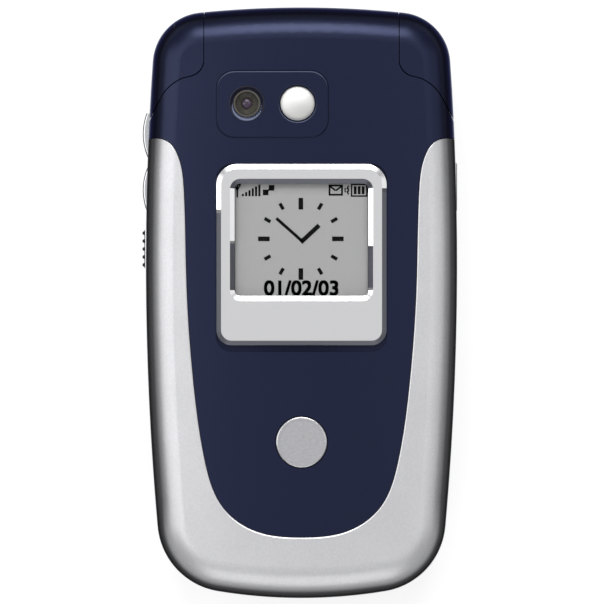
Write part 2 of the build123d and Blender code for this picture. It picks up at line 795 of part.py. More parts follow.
def lid_outer_housing(shell):
    """Dark outer shell: barrel, shoulders, camera pod and the tongue that carries the display."""
    body = outer_band(shell) & prism(panel_zone(-seam / 2), lid_floor - 1, body_thickness + 2)
    size = (pod_right - pod_left, pod_top - pod_foot)
    pod = prism(plate(*pod_centre, *size, pod_corner), body_thickness - 1.2, body_thickness + 1) & crown(pod_raise)
    body += chamfer(pod.faces().sort_by(Axis.Z)[-1].edges(), pod_raise * 0.8)
    body -= prism(bezel_plan(fit, bezel_groove), bezel_seat, body_thickness + 1)
    body -= prism(bezel_plan(-1.1, 0), lid_floor, body_thickness + 1)
    body -= disc(0, badge_y, badge_radius + fit, body_thickness - badge_sink, body_thickness + 1)
    body -= disc(lens_x, optics_y, lens_recess_radius + 0.03, body_thickness - 3, body_thickness + 1)
    body -= disc(mirror_x, optics_y, mirror_radius + 0.2, mirror_floor, body_thickness + 1)
    return body


def lid_side_frame(shell):
    """Bright U-shaped frame round the tongue, with the ledge that carries the tongue's edge."""
    outside = prism(Rectangle(3 * width, 3 * length) - panel_zone(seam / 2), lid_floor, body_thickness + 2)
    body = outer_band(shell) & outside
    ring = panel_zone(seam / 2 + 0.5) - panel_zone(-panel_ledge)
    ring &= Pos(0, shoulder_y - 4.0 - length / 2) * Rectangle(width, length)
    ledge = upper_form(wall, lid_split) - upper_form(wall + 0.8, lid_split - 1)
    body += prism(ring, lid_split, body_thickness) & ledge
    for x, y in lid_screws_at:
        boss = disc(x, y, boss_radius, lid_split + seam, body_thickness) & upper_form(wall / 2, lid_split)
        body += boss - disc(x, y, screw_radius, lid_floor, lid_split + 4.0)
    return body


def lid_inner_housing(shell):
    """Keypad-side half of the lid with the window's seat, earpiece slots and bumper wells."""
    size_x, size_y, y = inner_window
    body = shell & block(-width, width, -length, barrel_front - fit - 0.1, 0, lid_split)
    seat = lid_floor + inner_window_thickness + 0.1
    body -= prism(plate(0, y, size_x + 2 * fit, size_y + 2 * fit, inner_window_corner), lid_floor - 1, seat)
    view = plate(0, y, size_x - 2 * inner_view_margin, size_y - 2 * inner_view_margin, 0.6)
    body -= prism(view, lid_floor, lid_floor + inner_plate + 1)
    for k in range(earpiece_slots):
        x = (k - (earpiece_slots - 1) / 2) * earpiece_slot_pitch
        body -= prism(plate(x, earpiece_y, 0.8, 4.4, 0.39), lid_floor - 1, lid_floor + inner_plate + 1)
    for x, y in lid_screws_at:
        body += disc(x, y, screw_head_radius + 0.9, lid_floor + 0.1, lid_split)
        body -= disc(x, y, screw_radius + fit, lid_floor, lid_split + 1)
        body -= disc(x, y, screw_head_radius + fit, lid_floor, lid_floor + 2.0)
    for x, y in lid_bumpers_at:
        body -= disc(x, y, bumper_radius, lid_floor - 1, lid_floor + 0.7)
    return body


def display_bezel():
    """Raised bright frame round the outer display, with a chin towards the foot."""
    body = prism(bezel_plan(0, 0), bezel_seat, bezel_face)
    body += prism(bezel_plan(-1.1 - fit, 0), bezel_seat - 1.0, bezel_seat + 0.2)
    body -= prism(window_plan(0), window_face - window_thickness, bezel_face + 1)
    body -= prism(window_plan(-window_ledge), bezel_seat - 2, bezel_face)
    top = body.faces().filter_by(Axis.Z).sort_by(Axis.Z)[-1]
    body = chamfer(top.outer_wire().edges(), bezel_chamfer)
    top = body.faces().filter_by(Axis.Z).sort_by(Axis.Z)[-1]
    return chamfer(top.inner_wires()[0].edges(), window_chamfer * 0.6, window_chamfer)


def outer_display():
    """Display module under the bezel's window."""
    centre = (window_top + window_foot) / 2
    top = bezel_seat - 1.1
    body = prism(plate(0, centre, 2 * window_half + 1.6, window_top - window_foot + 3.2, 0.5), top - 1.6, top)
    return body + prism(window_plan(-window_ledge - 0.1), top - 0.1, window_face - window_thickness - 0.1)


def camera_module():
    """Square camera block with its round lens holder."""
    top = lens_rim - lens_depth - 0.7
    body = block(lens_x - 4.0, lens_x + 4.0, optics_y - 4.0, optics_y + 4.0, top - 4.6, top - 1.2)
    return body + disc(lens_x, optics_y, lens_radius - 0.1, top - 1.3, top)


def camera_ring():
    """Bevelled ring that lines the camera's recess."""
    body = disc(lens_x, optics_y, lens_recess_radius, lens_rim - lens_depth - 0.6, lens_rim - 0.1)
    bevel = Pos(lens_x, optics_y, lens_rim - lens_depth) * Cone(
        lens_radius, lens_recess_radius - 0.1, lens_depth, align=(Align.CENTER, Align.CENTER, Align.MIN))
    return body - bevel - disc(lens_x, optics_y, lens_radius - 0.35, lens_rim - 3, lens_rim)


def camera_window():
    """Clear window at the bottom of the bevelled ring."""
    return disc(lens_x, optics_y, lens_radius - 0.03, lens_rim - lens_depth + 0.02, lens_rim - lens_depth + 0.3)


def portrait_mirror():
    """Convex mirror: a disc whose face is part of a sphere."""
    dome_radius = (mirror_radius ** 2 + mirror_dome ** 2) / (2 * mirror_dome)
    top = mirror_rim - 0.15
    body = disc(mirror_x, optics_y, mirror_radius, mirror_floor + 0.03, top + 1)
    return body & Pos(mirror_x, optics_y, top - dome_radius) * Sphere(dome_radius)


def badge_disc():
    """Round bare badge with a raised rim."""
    foot = body_thickness - badge_sink + 0.03
    top = body_thickness + 0.1
    body = disc(0, badge_y, badge_radius, foot, top)
    body = fillet(body.edges().sort_by(Axis.Z)[-1], 0.25)
    return body - disc(0, badge_y, badge_radius - badge_rim, top - 0.18, top + 1)


def inner_display_window():
    """Clear plate over the main display."""
    size_x, size_y, y = inner_window
    return prism(plate(0, y, size_x, size_y, inner_window_corner), lid_floor + 0.08,
                 lid_floor + 0.08 + inner_window_thickness)


def inner_display():
    """Main display module."""
    size_x, size_y, y = inner_window
    floor = lid_floor + inner_plate + 0.1
    body = prism(plate(0, y, size_x + 1, size_y + 1, 0.6), floor, floor + inner_display_height)
    view = plate(0, y, size_x - 2 * inner_view_margin - 0.4, size_y - 2 * inner_view_margin - 0.4, 0.5)
    return body + prism(view, lid_floor + inner_window_thickness + 0.2, floor + 0.1)


def lid_board():
    """Circuit board between the two displays."""
    z = lid_floor + inner_plate + inner_display_height + 0.5
    size_x, size_y, y = inner_window
    return prism(plate(0, y, size_x - 4.0, size_y - 1.0, 2.0), z, z + 0.8)


def earpiece():
    """Oval speaker behind the slots."""
    z = lid_floor + inner_plate + 0.1
    return prism(Pos(0, earpiece_y) * SlotOverall(earpiece_length, earpiece_width), z, z + earpiece_height)


def lid_bumpers():
    """Rubber bumpers on the lid's inner face; two of them hide the lid's screws."""
    body = Part()
    for x, y in lid_bumpers_at:
        bumper = disc(x, y, bumper_radius - 0.05, lid_floor - bumper_proud, lid_floor + 0.65)
        body += chamfer(bumper.edges().sort_by(Axis.Z)[0], 0.15)
    return body


def lid_screws():
    """Screws that join the inner housing to the side frame."""
    seat = lid_floor + 2.0
    return Part() + [screw(x, y, seat, lid_split + 3.6) for x, y in lid_screws_at]


def base_screw_set():
    """Screws that join the two base housings."""
    return Part() + [screw(x, y, screw_seat, deck_floor - 0.3) for x, y in base_screws]


def build():
    """Make every piece and write it."""
    export("rear_housing", rear_housing())
    export("front_housing", front_housing())
    export("battery_cover", battery_cover())
    export("battery_pack", battery_pack())
    export("battery_contacts", battery_contacts())
    export("main_board", main_board())
    export("shield_cans", shield_cans())
    export("sim_card_holder", sim_card_holder())
    export("microphone", microphone())
    export("loudspeaker", loudspeaker())
    export("vibration_motor", vibration_motor())
    export("vibration_weight", vibration_weight())
    export("antenna", antenna())
    export("usb_port", usb_port())
    export("headset_jack", headset_jack())
    export("housing_screws", base_screw_set())
    export("keypad_fascia", keypad_fascia())
    keypad()
    export("volume_rocker", volume_rocker())
    export("ribbed_side_key", ribbed_side_key())
    export("slim_side_key", slim_side_key())
    export("hinge_cartridge", hinge_cartridge())
    export("hinge_cam", hinge_cam())
    export("hinge_sleeve", hinge_sleeve())
    shell = lid_shell()
    export("lid_outer_housing", lid_outer_housing(shell))
    export("lid_side_frame", lid_side_frame(shell))
    export("lid_inner_housing", lid_inner_housing(shell))
    export("display_bezel", display_bezel())
    export("outer_display_window", prism(window_plan(-0.05), window_face - window_thickness + 0.03, window_face))
    export("outer_display", outer_display())
    export("camera_module", camera_module())
    export("camera_ring", camera_ring())
    export("camera_window", camera_window())
    export("portrait_mirror", portrait_mirror())
    export("badge_disc", badge_disc())
    export("inner_display_window", inner_display_window())
    export("inner_display", inner_display())
    export("lid_board", lid_board())
    export("earpiece", earpiece())
    export("lid_bumpers", lid_bumpers())
    export("lid_screws", lid_screws())
    os.makedirs("parts", exist_ok=True)
    for name, shape in parts.items():
        export_step(shape, "parts/" + name + ".step")
        print(name, round(shape.volume, 1), len(shape.solids()))


build()
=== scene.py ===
"""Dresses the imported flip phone: a finish for every part, and the fine pieces that sit on its solids."""
import json
import math

import bpy
import numpy as np
from bpy.props import FloatProperty, FloatVectorProperty, PointerProperty
from mathutils import Matrix, Vector

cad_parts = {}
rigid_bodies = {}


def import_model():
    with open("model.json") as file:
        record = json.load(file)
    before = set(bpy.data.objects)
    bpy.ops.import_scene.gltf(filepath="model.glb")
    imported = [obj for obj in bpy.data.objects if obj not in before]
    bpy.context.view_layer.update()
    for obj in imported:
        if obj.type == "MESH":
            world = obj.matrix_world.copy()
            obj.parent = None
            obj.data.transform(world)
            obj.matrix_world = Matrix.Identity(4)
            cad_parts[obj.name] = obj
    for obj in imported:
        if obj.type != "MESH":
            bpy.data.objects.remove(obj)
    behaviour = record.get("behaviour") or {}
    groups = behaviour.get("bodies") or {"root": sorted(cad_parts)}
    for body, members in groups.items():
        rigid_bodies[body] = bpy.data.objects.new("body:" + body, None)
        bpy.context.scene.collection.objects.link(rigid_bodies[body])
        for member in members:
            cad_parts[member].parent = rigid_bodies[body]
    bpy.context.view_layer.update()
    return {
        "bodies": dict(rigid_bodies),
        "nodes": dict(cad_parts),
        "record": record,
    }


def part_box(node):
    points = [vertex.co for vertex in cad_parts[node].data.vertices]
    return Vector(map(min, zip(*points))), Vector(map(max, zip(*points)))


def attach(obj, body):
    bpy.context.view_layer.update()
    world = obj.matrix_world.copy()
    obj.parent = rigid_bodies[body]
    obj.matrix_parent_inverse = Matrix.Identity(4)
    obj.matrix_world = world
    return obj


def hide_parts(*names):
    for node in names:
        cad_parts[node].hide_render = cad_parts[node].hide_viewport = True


bl_info = {
    "name": "Flip Phone",
    "version": (1, 0, 0),
    "blender": (4, 5, 0),
    "location": "3D View > Sidebar > Flip Phone",
    "description": "Finishes and fine pieces of a folding mobile phone",
    "category": "Object",
}

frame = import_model()
MM = 0.001
CROWN = 160.0  # radius in mm of the arc that the top of the lid follows across the phone
NODES = frame["nodes"]


# ---- small helpers ----

def linear(code):
    """Linear RGB of an sRGB hex colour."""
    srgb = np.array([int(code[i:i + 2], 16) for i in (1, 3, 5)]) / 255
    return tuple(np.where(srgb <= 0.04045, srgb / 12.92, ((srgb + 0.055) / 1.055) ** 2.4))


def colour_prop(name, description, code):
    """Colour setting that starts from an sRGB hex value."""
    return FloatVectorProperty(name=name, description=description, subtype="COLOR", size=3,
                               min=0, max=1, default=linear(code))


def length_prop(name, description, millimetres):
    """Length setting that is shown in the scene's unit."""
    return FloatProperty(name=name, description=description, subtype="DISTANCE", unit="LENGTH",
                         default=millimetres * MM)


def spacing(millimetres):
    """Texture scale on Object coordinates that gives features of this size."""
    return 1 / (millimetres * MM)


def top_of(node):
    """Highest point of a CAD node in metres."""
    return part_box(node)[1].z


def add(tree, kind, inputs=None, **settings):
    """Adds one shader node with its settings; an input is a value, or the socket that feeds it."""
    made = tree.nodes.new("ShaderNode" + kind)
    for name, value in settings.items():
        setattr(made, name, value)
    for name, value in (inputs or {}).items():
        if isinstance(value, bpy.types.NodeSocket):
            tree.links.new(value, made.inputs[name])
        else:
            made.inputs[name].default_value = value
    return made


def start_material(name, **shader):
    """New material with a Principled shader; returns it, its tree, the shader and Object coordinates."""
    made = bpy.data.materials.new(name)
    made.use_nodes = True
    tree = made.node_tree
    principled = tree.nodes["Principled BSDF"]
    for socket, value in shader.items():
        principled.inputs[socket.replace("_", " ")].default_value = value
    place = add(tree, "TexCoord").outputs["Object"]
    return made, tree, principled, place


def mesh_piece(name, points, faces, body, slot, material, smooth=True):
    """Object at the origin from points in metres, riding on a body of the frame."""
    mesh = bpy.data.meshes.new(name)
    mesh.from_pydata([tuple(p) for p in np.asarray(points, float)], [], [tuple(f) for f in faces])
    mesh.update()
    if smooth:
        mesh.shade_smooth()
    piece = bpy.data.objects.new(name, mesh)
    bpy.context.scene.collection.objects.link(piece)
    mesh.materials.append(material)
    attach(piece, body)
    return piece


def bars(rows, low, high):
    """Points and faces of thin boxes: a row is centre x and y, width, height (mm) and turn (degrees).
    A corner is the centre plus its half sizes turned by the angle, once at low and once at high (m)."""
    rows = np.asarray(rows, float)
    half = 0.5 * np.array([(-1, -1), (1, -1), (1, 1), (-1, 1)]) * rows[:, None, 2:4]
    turn = np.radians(rows[:, 4:5])
    x = rows[:, 0:1] + half[..., 0] * np.cos(turn) - half[..., 1] * np.sin(turn)
    y = rows[:, 1:2] + half[..., 0] * np.sin(turn) + half[..., 1] * np.cos(turn)
    corners = np.stack([x, y], -1) * MM
    levels = [np.dstack([corners, np.full(x.shape, z)]) for z in (low, high)]
    points = np.concatenate(levels, 1).reshape(-1, 3)
    box = np.array([(3, 2, 1, 0), (4, 5, 6, 7), (0, 1, 5, 4), (1, 2, 6, 5), (2, 3, 7, 6), (3, 0, 4, 7)])
    return points, (8 * np.arange(len(rows))[:, None, None] + box).reshape(-1, 4)


def turned(profile, centre, steps=64):
    """Points and faces of a profile of (radius, height) in mm turned about an upright axis through centre.
    A point is (r cos a, r sin a, z); the angle a runs round in equal steps, and the ends close on the axis."""
    radius, height = np.asarray(profile, float).T
    angle = np.linspace(0, 2 * math.pi, steps, endpoint=False)
    grid = np.stack([np.outer(radius, np.cos(angle)) + centre[0], np.outer(radius, np.sin(angle)) + centre[1],
                     np.outer(height, np.ones(steps))], -1) * MM
    ring = np.arange(len(radius) - 1)[:, None] * steps
    here, after = np.arange(steps), (np.arange(steps) + 1) % steps
    faces = np.stack([ring + here, ring + after, ring + steps + after, ring + steps + here], -1)
    return grid.reshape(-1, 3), faces.reshape(-1, 4)


def lettering(words, depth, bold, flip=False):
    """Points and faces of flat text: a row is text, centre x and y, height (mm), width factor and level (m).
    Strokes are widened by four copies moved by bold mm; flipped text is read from below, turned about X."""
    shapes = []
    for text, x, y, size, wide, level in words:
        curve = bpy.data.curves.new("lettering", "FONT")
        curve.body = text
        curve.align_x = "CENTER"
        curve.align_y = "CENTER"
        curve.extrude = 0.5
        carrier = bpy.data.objects.new("lettering", curve)
        mesh = bpy.data.meshes.new_from_object(carrier)
        points = np.empty(len(mesh.vertices) * 3)
        mesh.vertices.foreach_get("co", points)
        points = points.reshape(-1, 3)
        points[:, :2] -= (points[:, :2].min(0) + points[:, :2].max(0)) / 2
        tall = np.ptp(points[:, 1])
        scale = np.array([size * wide / tall * MM, size / tall * MM, depth])
        if flip:
            scale *= (1, -1, -1)
        faces = [tuple(face.vertices) for face in mesh.polygons]
        for side, rise in ((-1, -1), (1, -1), (1, 1), (-1, 1)):
            shapes.append((points * scale + ((x + side * bold) * MM, (y + rise * bold) * MM, level), faces))
        bpy.data.objects.remove(carrier)
        bpy.data.curves.remove(curve)
        bpy.data.meshes.remove(mesh)
    starts = np.cumsum([0] + [len(points) for points, _ in shapes[:-1]])
    faces = [tuple(i + start for i in face) for start, (_, made) in zip(starts, shapes) for face in made]
    return np.concatenate([points for points, _ in shapes]), faces


# ---- finishes ----

def grained(name, colour, size, tone, gloss, height, stretch=(1, 1, 1), **shader):
    """Finish with one grain: its size in mm, the part by which it changes tone and roughness, its height in mm."""
    made, tree, principled, place = start_material(name, **shader)
    mapped = add(tree, "Mapping", {"Vector": place, "Scale": stretch}).outputs["Vector"]
    grain = add(tree, "TexNoise", {"Vector": mapped, "Scale": spacing(size), "Detail": 4.0,
                                   "Roughness": 0.6}).outputs["Fac"]
    shade = add(tree, "MapRange", {"Value": grain, "From Min": 0.25, "From Max": 0.75,
                                   "To Min": 1 - tone, "To Max": 1 + tone}).outputs["Result"]
    tinted = add(tree, "VectorMath", {0: colour, "Scale": shade}, operation="SCALE").outputs["Vector"]
    rough = shader.get("Roughness", 0.5)
    sheen = add(tree, "MapRange", {"Value": grain, "From Min": 0.25, "From Max": 0.75,
                                   "To Min": rough - gloss, "To Max": rough + gloss}).outputs["Result"]
    bump = add(tree, "Bump", {"Height": grain, "Distance": height * MM, "Strength": 1.0}).outputs["Normal"]
    tree.links.new(tinted, principled.inputs["Base Color"])
    tree.links.new(sheen, principled.inputs["Roughness"])
    tree.links.new(bump, principled.inputs["Normal"])
    return made


def flake_paint(name, colour, flake, rim, **shader):
    """Metallic lacquer: flakes that differ in tone and tilt, slow mottle, and painted shade that darkens the lid's
    rim.
    rim is the level where the tone starts to rise, where it is full (mm), the tone and the metal at the rim, and
    how far from the middle plane the level still follows the crown (mm). The dark rim is painted shade."""
    made, tree, principled, place = start_material(name, **shader)
    cells = add(tree, "TexVoronoi", {"Vector": place, "Scale": spacing(flake)})
    mottle = add(tree, "TexNoise", {"Vector": place, "Scale": spacing(6), "Detail": 3.0}).outputs["Fac"]
    sparkle = add(tree, "MapRange", {"Value": cells.outputs["Color"], "To Min": 0.93,
                                     "To Max": 1.07}).outputs["Result"]
    drift = add(tree, "MapRange", {"Value": mottle, "To Min": 0.94, "To Max": 1.06}).outputs["Result"]
    tone = add(tree, "Math", {0: sparkle, 1: drift}, operation="MULTIPLY").outputs[0]
    axes = add(tree, "SeparateXYZ", {"Vector": place}).outputs
    # Painted shade: the tone falls to dark and the metal moves to its rim value as the level drops to the rim; the
    # level follows the crown and is raised towards the foot.
    low, high, dark, plated, reach = rim
    aside = add(tree, "Math", {0: axes["X"]}, operation="ABSOLUTE").outputs[0]
    aside = add(tree, "Math", {0: aside, 1: reach * MM}, operation="MINIMUM").outputs[0]
    bend = add(tree, "Math", {0: aside, 1: aside}, operation="MULTIPLY").outputs[0]
    level = add(tree, "Math", {0: bend, 1: 0.5 / (CROWN * MM), 2: axes["Z"]}, operation="MULTIPLY_ADD").outputs[0]
    foot = add(tree, "MapRange", {"Value": axes["Y"], "From Min": -30 * MM, "From Max": -43 * MM,
                                  "To Max": 0.6 * MM}).outputs["Result"]
    level = add(tree, "Math", {0: level, 1: foot}, operation="ADD").outputs[0]
    above = add(tree, "MapRange", {"Value": level, "From Min": low * MM, "From Max": high * MM,
                                   "To Min": dark, "To Max": 1.0}, interpolation_type="SMOOTHSTEP").outputs["Result"]
    # Lower down the tone comes back to full, so that the painted shade is a band round the lid's rim.
    below = add(tree, "MapRange", {"Value": level, "From Min": 20.9 * MM, "From Max": 18.8 * MM,
                                   "To Max": 1.0}, interpolation_type="SMOOTHSTEP").outputs["Result"]
    painted_rim_shade = add(tree, "Math", {0: above, 1: below}, operation="MAXIMUM").outputs[0]
    tone = add(tree, "Math", {0: tone, 1: painted_rim_shade}, operation="MULTIPLY").outputs[0]
    tinted = add(tree, "VectorMath", {0: colour, "Scale": tone}, operation="SCALE").outputs["Vector"]
    metal = add(tree, "MapRange", {"Value": painted_rim_shade, "From Min": dark, "From Max": 1.0, "To Min": plated,
                                   "To Max": shader["Metallic"]}).outputs["Result"]
    tree.links.new(metal, principled.inputs["Metallic"])
    fine = add(tree, "TexNoise", {"Vector": place, "Scale": spacing(flake * 0.8), "Detail": 2.0}).outputs["Fac"]
    bump = add(tree, "Bump", {"Height": fine, "Distance": 0.002 * MM, "Strength": 0.6}).outputs["Normal"]
    tree.links.new(tinted, principled.inputs["Base Color"])
    tree.links.new(bump, principled.inputs["Normal"])
    return made


def painted_edge_shade(made, heights, dark):
    """Paints shade into a finish round an edge: its tone falls and rises again between four heights in mm."""
    tree = made.node_tree
    base = tree.nodes["Principled BSDF"].inputs["Base Color"]
    tint = base.links[0].from_socket
    level = add(tree, "SeparateXYZ", {"Vector": add(tree, "TexCoord").outputs["Object"]}).outputs["Z"]
    under = add(tree, "MapRange", {"Value": level, "From Min": heights[0] * MM, "From Max": heights[1] * MM,
                                   "To Min": 1.0, "To Max": dark}).outputs["Result"]
    over = add(tree, "MapRange", {"Value": level, "From Min": heights[2] * MM, "From Max": heights[3] * MM,
                                  "To Min": dark, "To Max": 1.0}).outputs["Result"]
    tone = add(tree, "Math", {0: under, 1: over}, operation="MAXIMUM").outputs[0]
    tree.links.new(add(tree, "VectorMath", {0: tint, "Scale": tone}, operation="SCALE").outputs["Vector"], base)


def wallpaper(name):
    """Lit colour display: a blue gradient down the panel with two soft pale waves across it."""
    made, tree, principled, place = start_material(name, Roughness=0.3, Emission_Strength=0.45)
    axes = add(tree, "SeparateXYZ", {"Vector": place}).outputs
    height = add(tree, "MapRange", {"Value": axes["Y"], "From Min": -24 * MM, "From Max": 19 * MM}).outputs["Result"]
    blend = add(tree, "ValToRGB", {"Fac": height})
    ramp = blend.color_ramp
    ramp.elements[0].color = (*linear("#0C1E4E"), 1)
    ramp.elements[1].color = (*linear("#6FA6DC"), 1)
    middle = ramp.elements.new(0.55)
    middle.color = (*linear("#2E62A8"), 1)
    waves = add(tree, "TexWave", {"Vector": place, "Scale": spacing(60), "Distortion": 3.0, "Detail": 1.0,
                                  "Detail Scale": 0.6}, bands_direction="Y")
    pale = add(tree, "MapRange", {"Value": waves.outputs["Fac"], "From Min": 0.75, "To Max": 0.3}).outputs["Result"]
    colour = add(tree, "Mix", {"Factor": pale, 6: blend.outputs["Color"], 7: (*linear("#DDEBFA"), 1)},
                 data_type="RGBA").outputs[2]
    tree.links.new(colour, principled.inputs["Base Color"])
    tree.links.new(colour, principled.inputs["Emission Color"])
    return made


class PhoneColours(bpy.types.PropertyGroup):
    """Colours of the phone's finishes."""
    navy: colour_prop("Navy lacquer", "Metallic lacquer of both housings", "#0C0F28")
    silver: colour_prop("Silver lacquer", "Metallic lacquer of the lid's side frame", "#C4C4C7")
    inside: colour_prop("Inside silver", "Satin paint round the keypad and the main display", "#A9ACB2")
    key: colour_prop("Keys", "Painted keys", "#BFC2C7")
    plate: colour_prop("Bezel", "Plated bezel of the outer display", "#EDEDEF")
    lcd: colour_prop("Outer display", "Reflective liquid-crystal panel", "#A6A6A6")


class PhoneSizes(bpy.types.PropertyGroup):
    """Sizes of the fine pieces that sit on the phone."""
    bezel_bevel: length_prop("Bezel bevel", "Width of the bevels of the outer display's bezel", 0.7)
    pod_width: length_prop("Pod width", "Width of the raised pod that carries the camera and the mirror", 17.15)
    pod_height: length_prop("Pod height", "Height of the raised pod up the lid", 10.3)
    pod_centre_x: length_prop("Pod place across", "Middle of the pod from the phone's middle plane", -4.425)
    pod_centre_y: length_prop("Pod place along", "Middle of the pod towards the hinge", 30.15)


FINISHES = {}


class PHONE_OT_finishes(bpy.types.Operator):
    """Makes the finishes and gives each CAD part its own"""
    bl_idname = "phone.finishes"
    bl_label = "Finish the Parts"

    def execute(self, context):
        tones = context.scene.phone_colours
        # Moulded ABS under lacquer: deep blue with a soft metallic band of light, and near-black edges of painted
        # shade.
        # The flakes are drawn at 0.16 mm, coarser than real ones of about 0.02 mm, so that they show.
        FINISHES["blue_plastic"] = flake_paint(
            "ABS, metallic navy lacquer", tones.navy, 0.16, (21.7, 23.0, 0.05, 0.93, 18.9),
            Metallic=0.35, Roughness=0.33, Specular_IOR_Level=1.0, Specular_Tint=(*linear("#9EA9CE"), 1))
        # The same lacquer in silver: pale and even, with painted shade that darkens the lid's rim; flakes drawn
        # coarser, at 0.14 mm.
        FINISHES["silver_plastic"] = flake_paint(
            "ABS, metallic silver lacquer", tones.silver, 0.14, (22.05, 23.4, 0.13, 1.0, 30.0),
            Metallic=0.6, Roughness=0.37, Specular_Tint=(*linear("#828282"), 1))
        # Painted mouldings inside: an even grey satin with a faint orange-peel grain.
        FINISHES["inner_plastic"] = grained(
            "ABS, satin silver paint", tones.inside, 0.2, 0.05, 0.04, 0.004, Roughness=0.42, Metallic=0.4)
        # Satin plating: bright and soft, nearly white on bevels that face the light.
        FINISHES["bezel_metal"] = grained(
            "zinc die-casting, satin plated", tones.plate, 0.15, 0.02, 0.03, 0.0006, Roughness=0.25, Metallic=1.0)
        # The same plating, made darker for its steep bevels: painted shade, a dark grey band that frames the display.
        FINISHES["shaded_metal"] = grained(
            "zinc die-casting, dark plated bevel", linear("#8C8E98"), 0.15, 0.02, 0.03, 0.0006, Roughness=0.3,
            Metallic=1.0)
        # Brushed metal: lines across the disc stretch its highlight.
        FINISHES["badge_metal"] = grained(
            "aluminium, brushed", linear("#C4C4C8"), 0.16, 0.07, 0.05, 0.002, stretch=(0.3, 1, 1),
            Roughness=0.3, Metallic=1.0)
        # Chrome plating on a dome: a white, almost blank reflection of the room.
        FINISHES["mirror_face"] = grained(
            "acrylic, chrome plated", linear("#D6D6D4"), 1.5, 0.01, 0.02, 0.0, Roughness=0.5, Metallic=1.0)
        # Clear acrylic: nearly invisible, with a thin gloss.
        FINISHES["clear_window"] = grained(
            "acrylic, clear moulded", linear("#0A0C0D"), 2.0, 0.02, 0.01, 0.0, Roughness=0.05, Alpha=0.06,
            Specular_IOR_Level=0.1)
        # Reflective display: flat pale grey that never shines.
        FINISHES["outer_lcd"] = grained(
            "liquid-crystal panel, reflective", tones.lcd, 0.3, 0.03, 0.03, 0.0, Roughness=0.5)
        # Switched-off colour display: near black under glass.
        FINISHES["inner_lcd"] = grained(
            "liquid-crystal panel, colour", linear("#101218"), 0.3, 0.1, 0.02, 0.0, Roughness=0.25)
        # Black moulding: dull, so that the lens stands out.
        FINISHES["camera_black"] = grained(
            "polycarbonate, black barrel", linear("#1E1D1B"), 0.2, 0.1, 0.05, 0.003, Roughness=0.35)
        # Glossy navy bevel: darker than the housing round it, painted shade of the lens recess.
        FINISHES["ring_plastic"] = grained(
            "ABS, gloss navy bevel", linear("#161A2C"), 0.2, 0.06, 0.04, 0.002, Roughness=0.35, Metallic=0.2)
        # Painted keys: matt silver, a shade paler than the panel.
        FINISHES["key_silver"] = grained(
            "polycarbonate, painted keys", tones.key, 0.18, 0.05, 0.04, 0.003, Roughness=0.5, Metallic=0.1)
        FINISHES["call_keys"] = FINISHES["key_silver"]
        # Fine silver paint on the ring: smoother and brighter than the keys.
        FINISHES["nav_metal"] = grained(
            "ABS, satin silver paint, fine", linear("#C6C7CB"), 0.15, 0.04, 0.05, 0.002, Roughness=0.42, Metallic=0.3)
        # Coarser silver paint of the keypad panel: matt and a shade darker than the keys.
        FINISHES["fascia_paint"] = grained(
            "ABS, satin silver paint, coarse", linear("#A4A7AE"), 0.22, 0.06, 0.04, 0.004, Roughness=0.5,
            Metallic=0.15)
        # Navy paint on the middle key: the one dark spot of the keypad.
        FINISHES["select_plastic"] = grained(
            "polycarbonate, navy paint", linear("#252B4B"), 0.16, 0.08, 0.05, 0.002, Roughness=0.34, Metallic=0.7)
        # Plated side keys: almost white, with a line of painted shade where the upper edge rounds off.
        FINISHES["side_key_plastic"] = grained(
            "ABS, satin plated side keys", linear("#D8D9DC"), 0.16, 0.04, 0.04, 0.002, Roughness=0.3, Metallic=1.0,
            Specular_Tint=(*linear("#3C3C3C"), 1))
        # Painted shade: a dark line on the side keys between these heights.
        painted_edge_shade(FINISHES["side_key_plastic"], (10.22, 10.32, 10.56, 10.635), 0.06)
        # Silicone rubber: black and quite dull.
        FINISHES["rubber_black"] = grained(
            "silicone rubber, black", linear("#1B1B1C"), 0.25, 0.12, 0.05, 0.006, Roughness=0.75)
        # Turned stainless steel: grey with a tight, bright highlight.
        FINISHES["steel"] = grained(
            "stainless steel, turned", linear("#AAAAAD"), 0.1, 0.08, 0.08, 0.004, Roughness=0.32, Metallic=1.0)
        # Tinned sheet: pale grey, with cloudy patches.
        FINISHES["tinned_steel"] = grained(
            "steel sheet, tinned", linear("#BDBDB8"), 0.5, 0.06, 0.08, 0.004, Roughness=0.3, Metallic=1.0)
        # Gold plating: warm yellow and shiny.
        FINISHES["contact_gold"] = grained(
            "phosphor bronze, gold plated", linear("#D9A94B"), 0.2, 0.06, 0.06, 0.002, Roughness=0.25, Metallic=1.0)
        # Solder mask over glass cloth: green, faintly mottled, half glossy.
        FINISHES["board_green"] = grained(
            "glass-epoxy board, solder mask", linear("#1F5A33"), 0.4, 0.12, 0.06, 0.004, Roughness=0.35)
        # Film wrap: charcoal with a low plastic sheen.
        FINISHES["battery_wrap"] = grained(
            "polyester film, dark wrap", linear("#33343A"), 0.6, 0.1, 0.05, 0.003, Roughness=0.4)
        # Film over steel domes: silvery and smooth.
        FINISHES["dome_film"] = grained(
            "polyester film over steel domes", linear("#C4C6C8"), 0.3, 0.05, 0.05, 0.002, Roughness=0.25,
            Metallic=0.6)
        # Glass-filled nylon: black and slightly rough.
        FINISHES["black_plastic"] = grained(
            "glass-filled nylon, black", linear("#1D1D1F"), 0.25, 0.12, 0.06, 0.005, Roughness=0.55)
        # Switched-on segments: plain black, without gloss.
        FINISHES["lcd_ink"] = grained(
            "liquid crystal, dark segments", linear("#050505"), 0.3, 0.1, 0.03, 0.0, Roughness=0.6,
            Specular_IOR_Level=0.1)
        # Printed legends: thin, dark blue and matt.
        FINISHES["key_ink"] = grained(
            "pad-printing ink, navy", linear("#20263F"), 0.2, 0.1, 0.04, 0.001, Roughness=0.45)
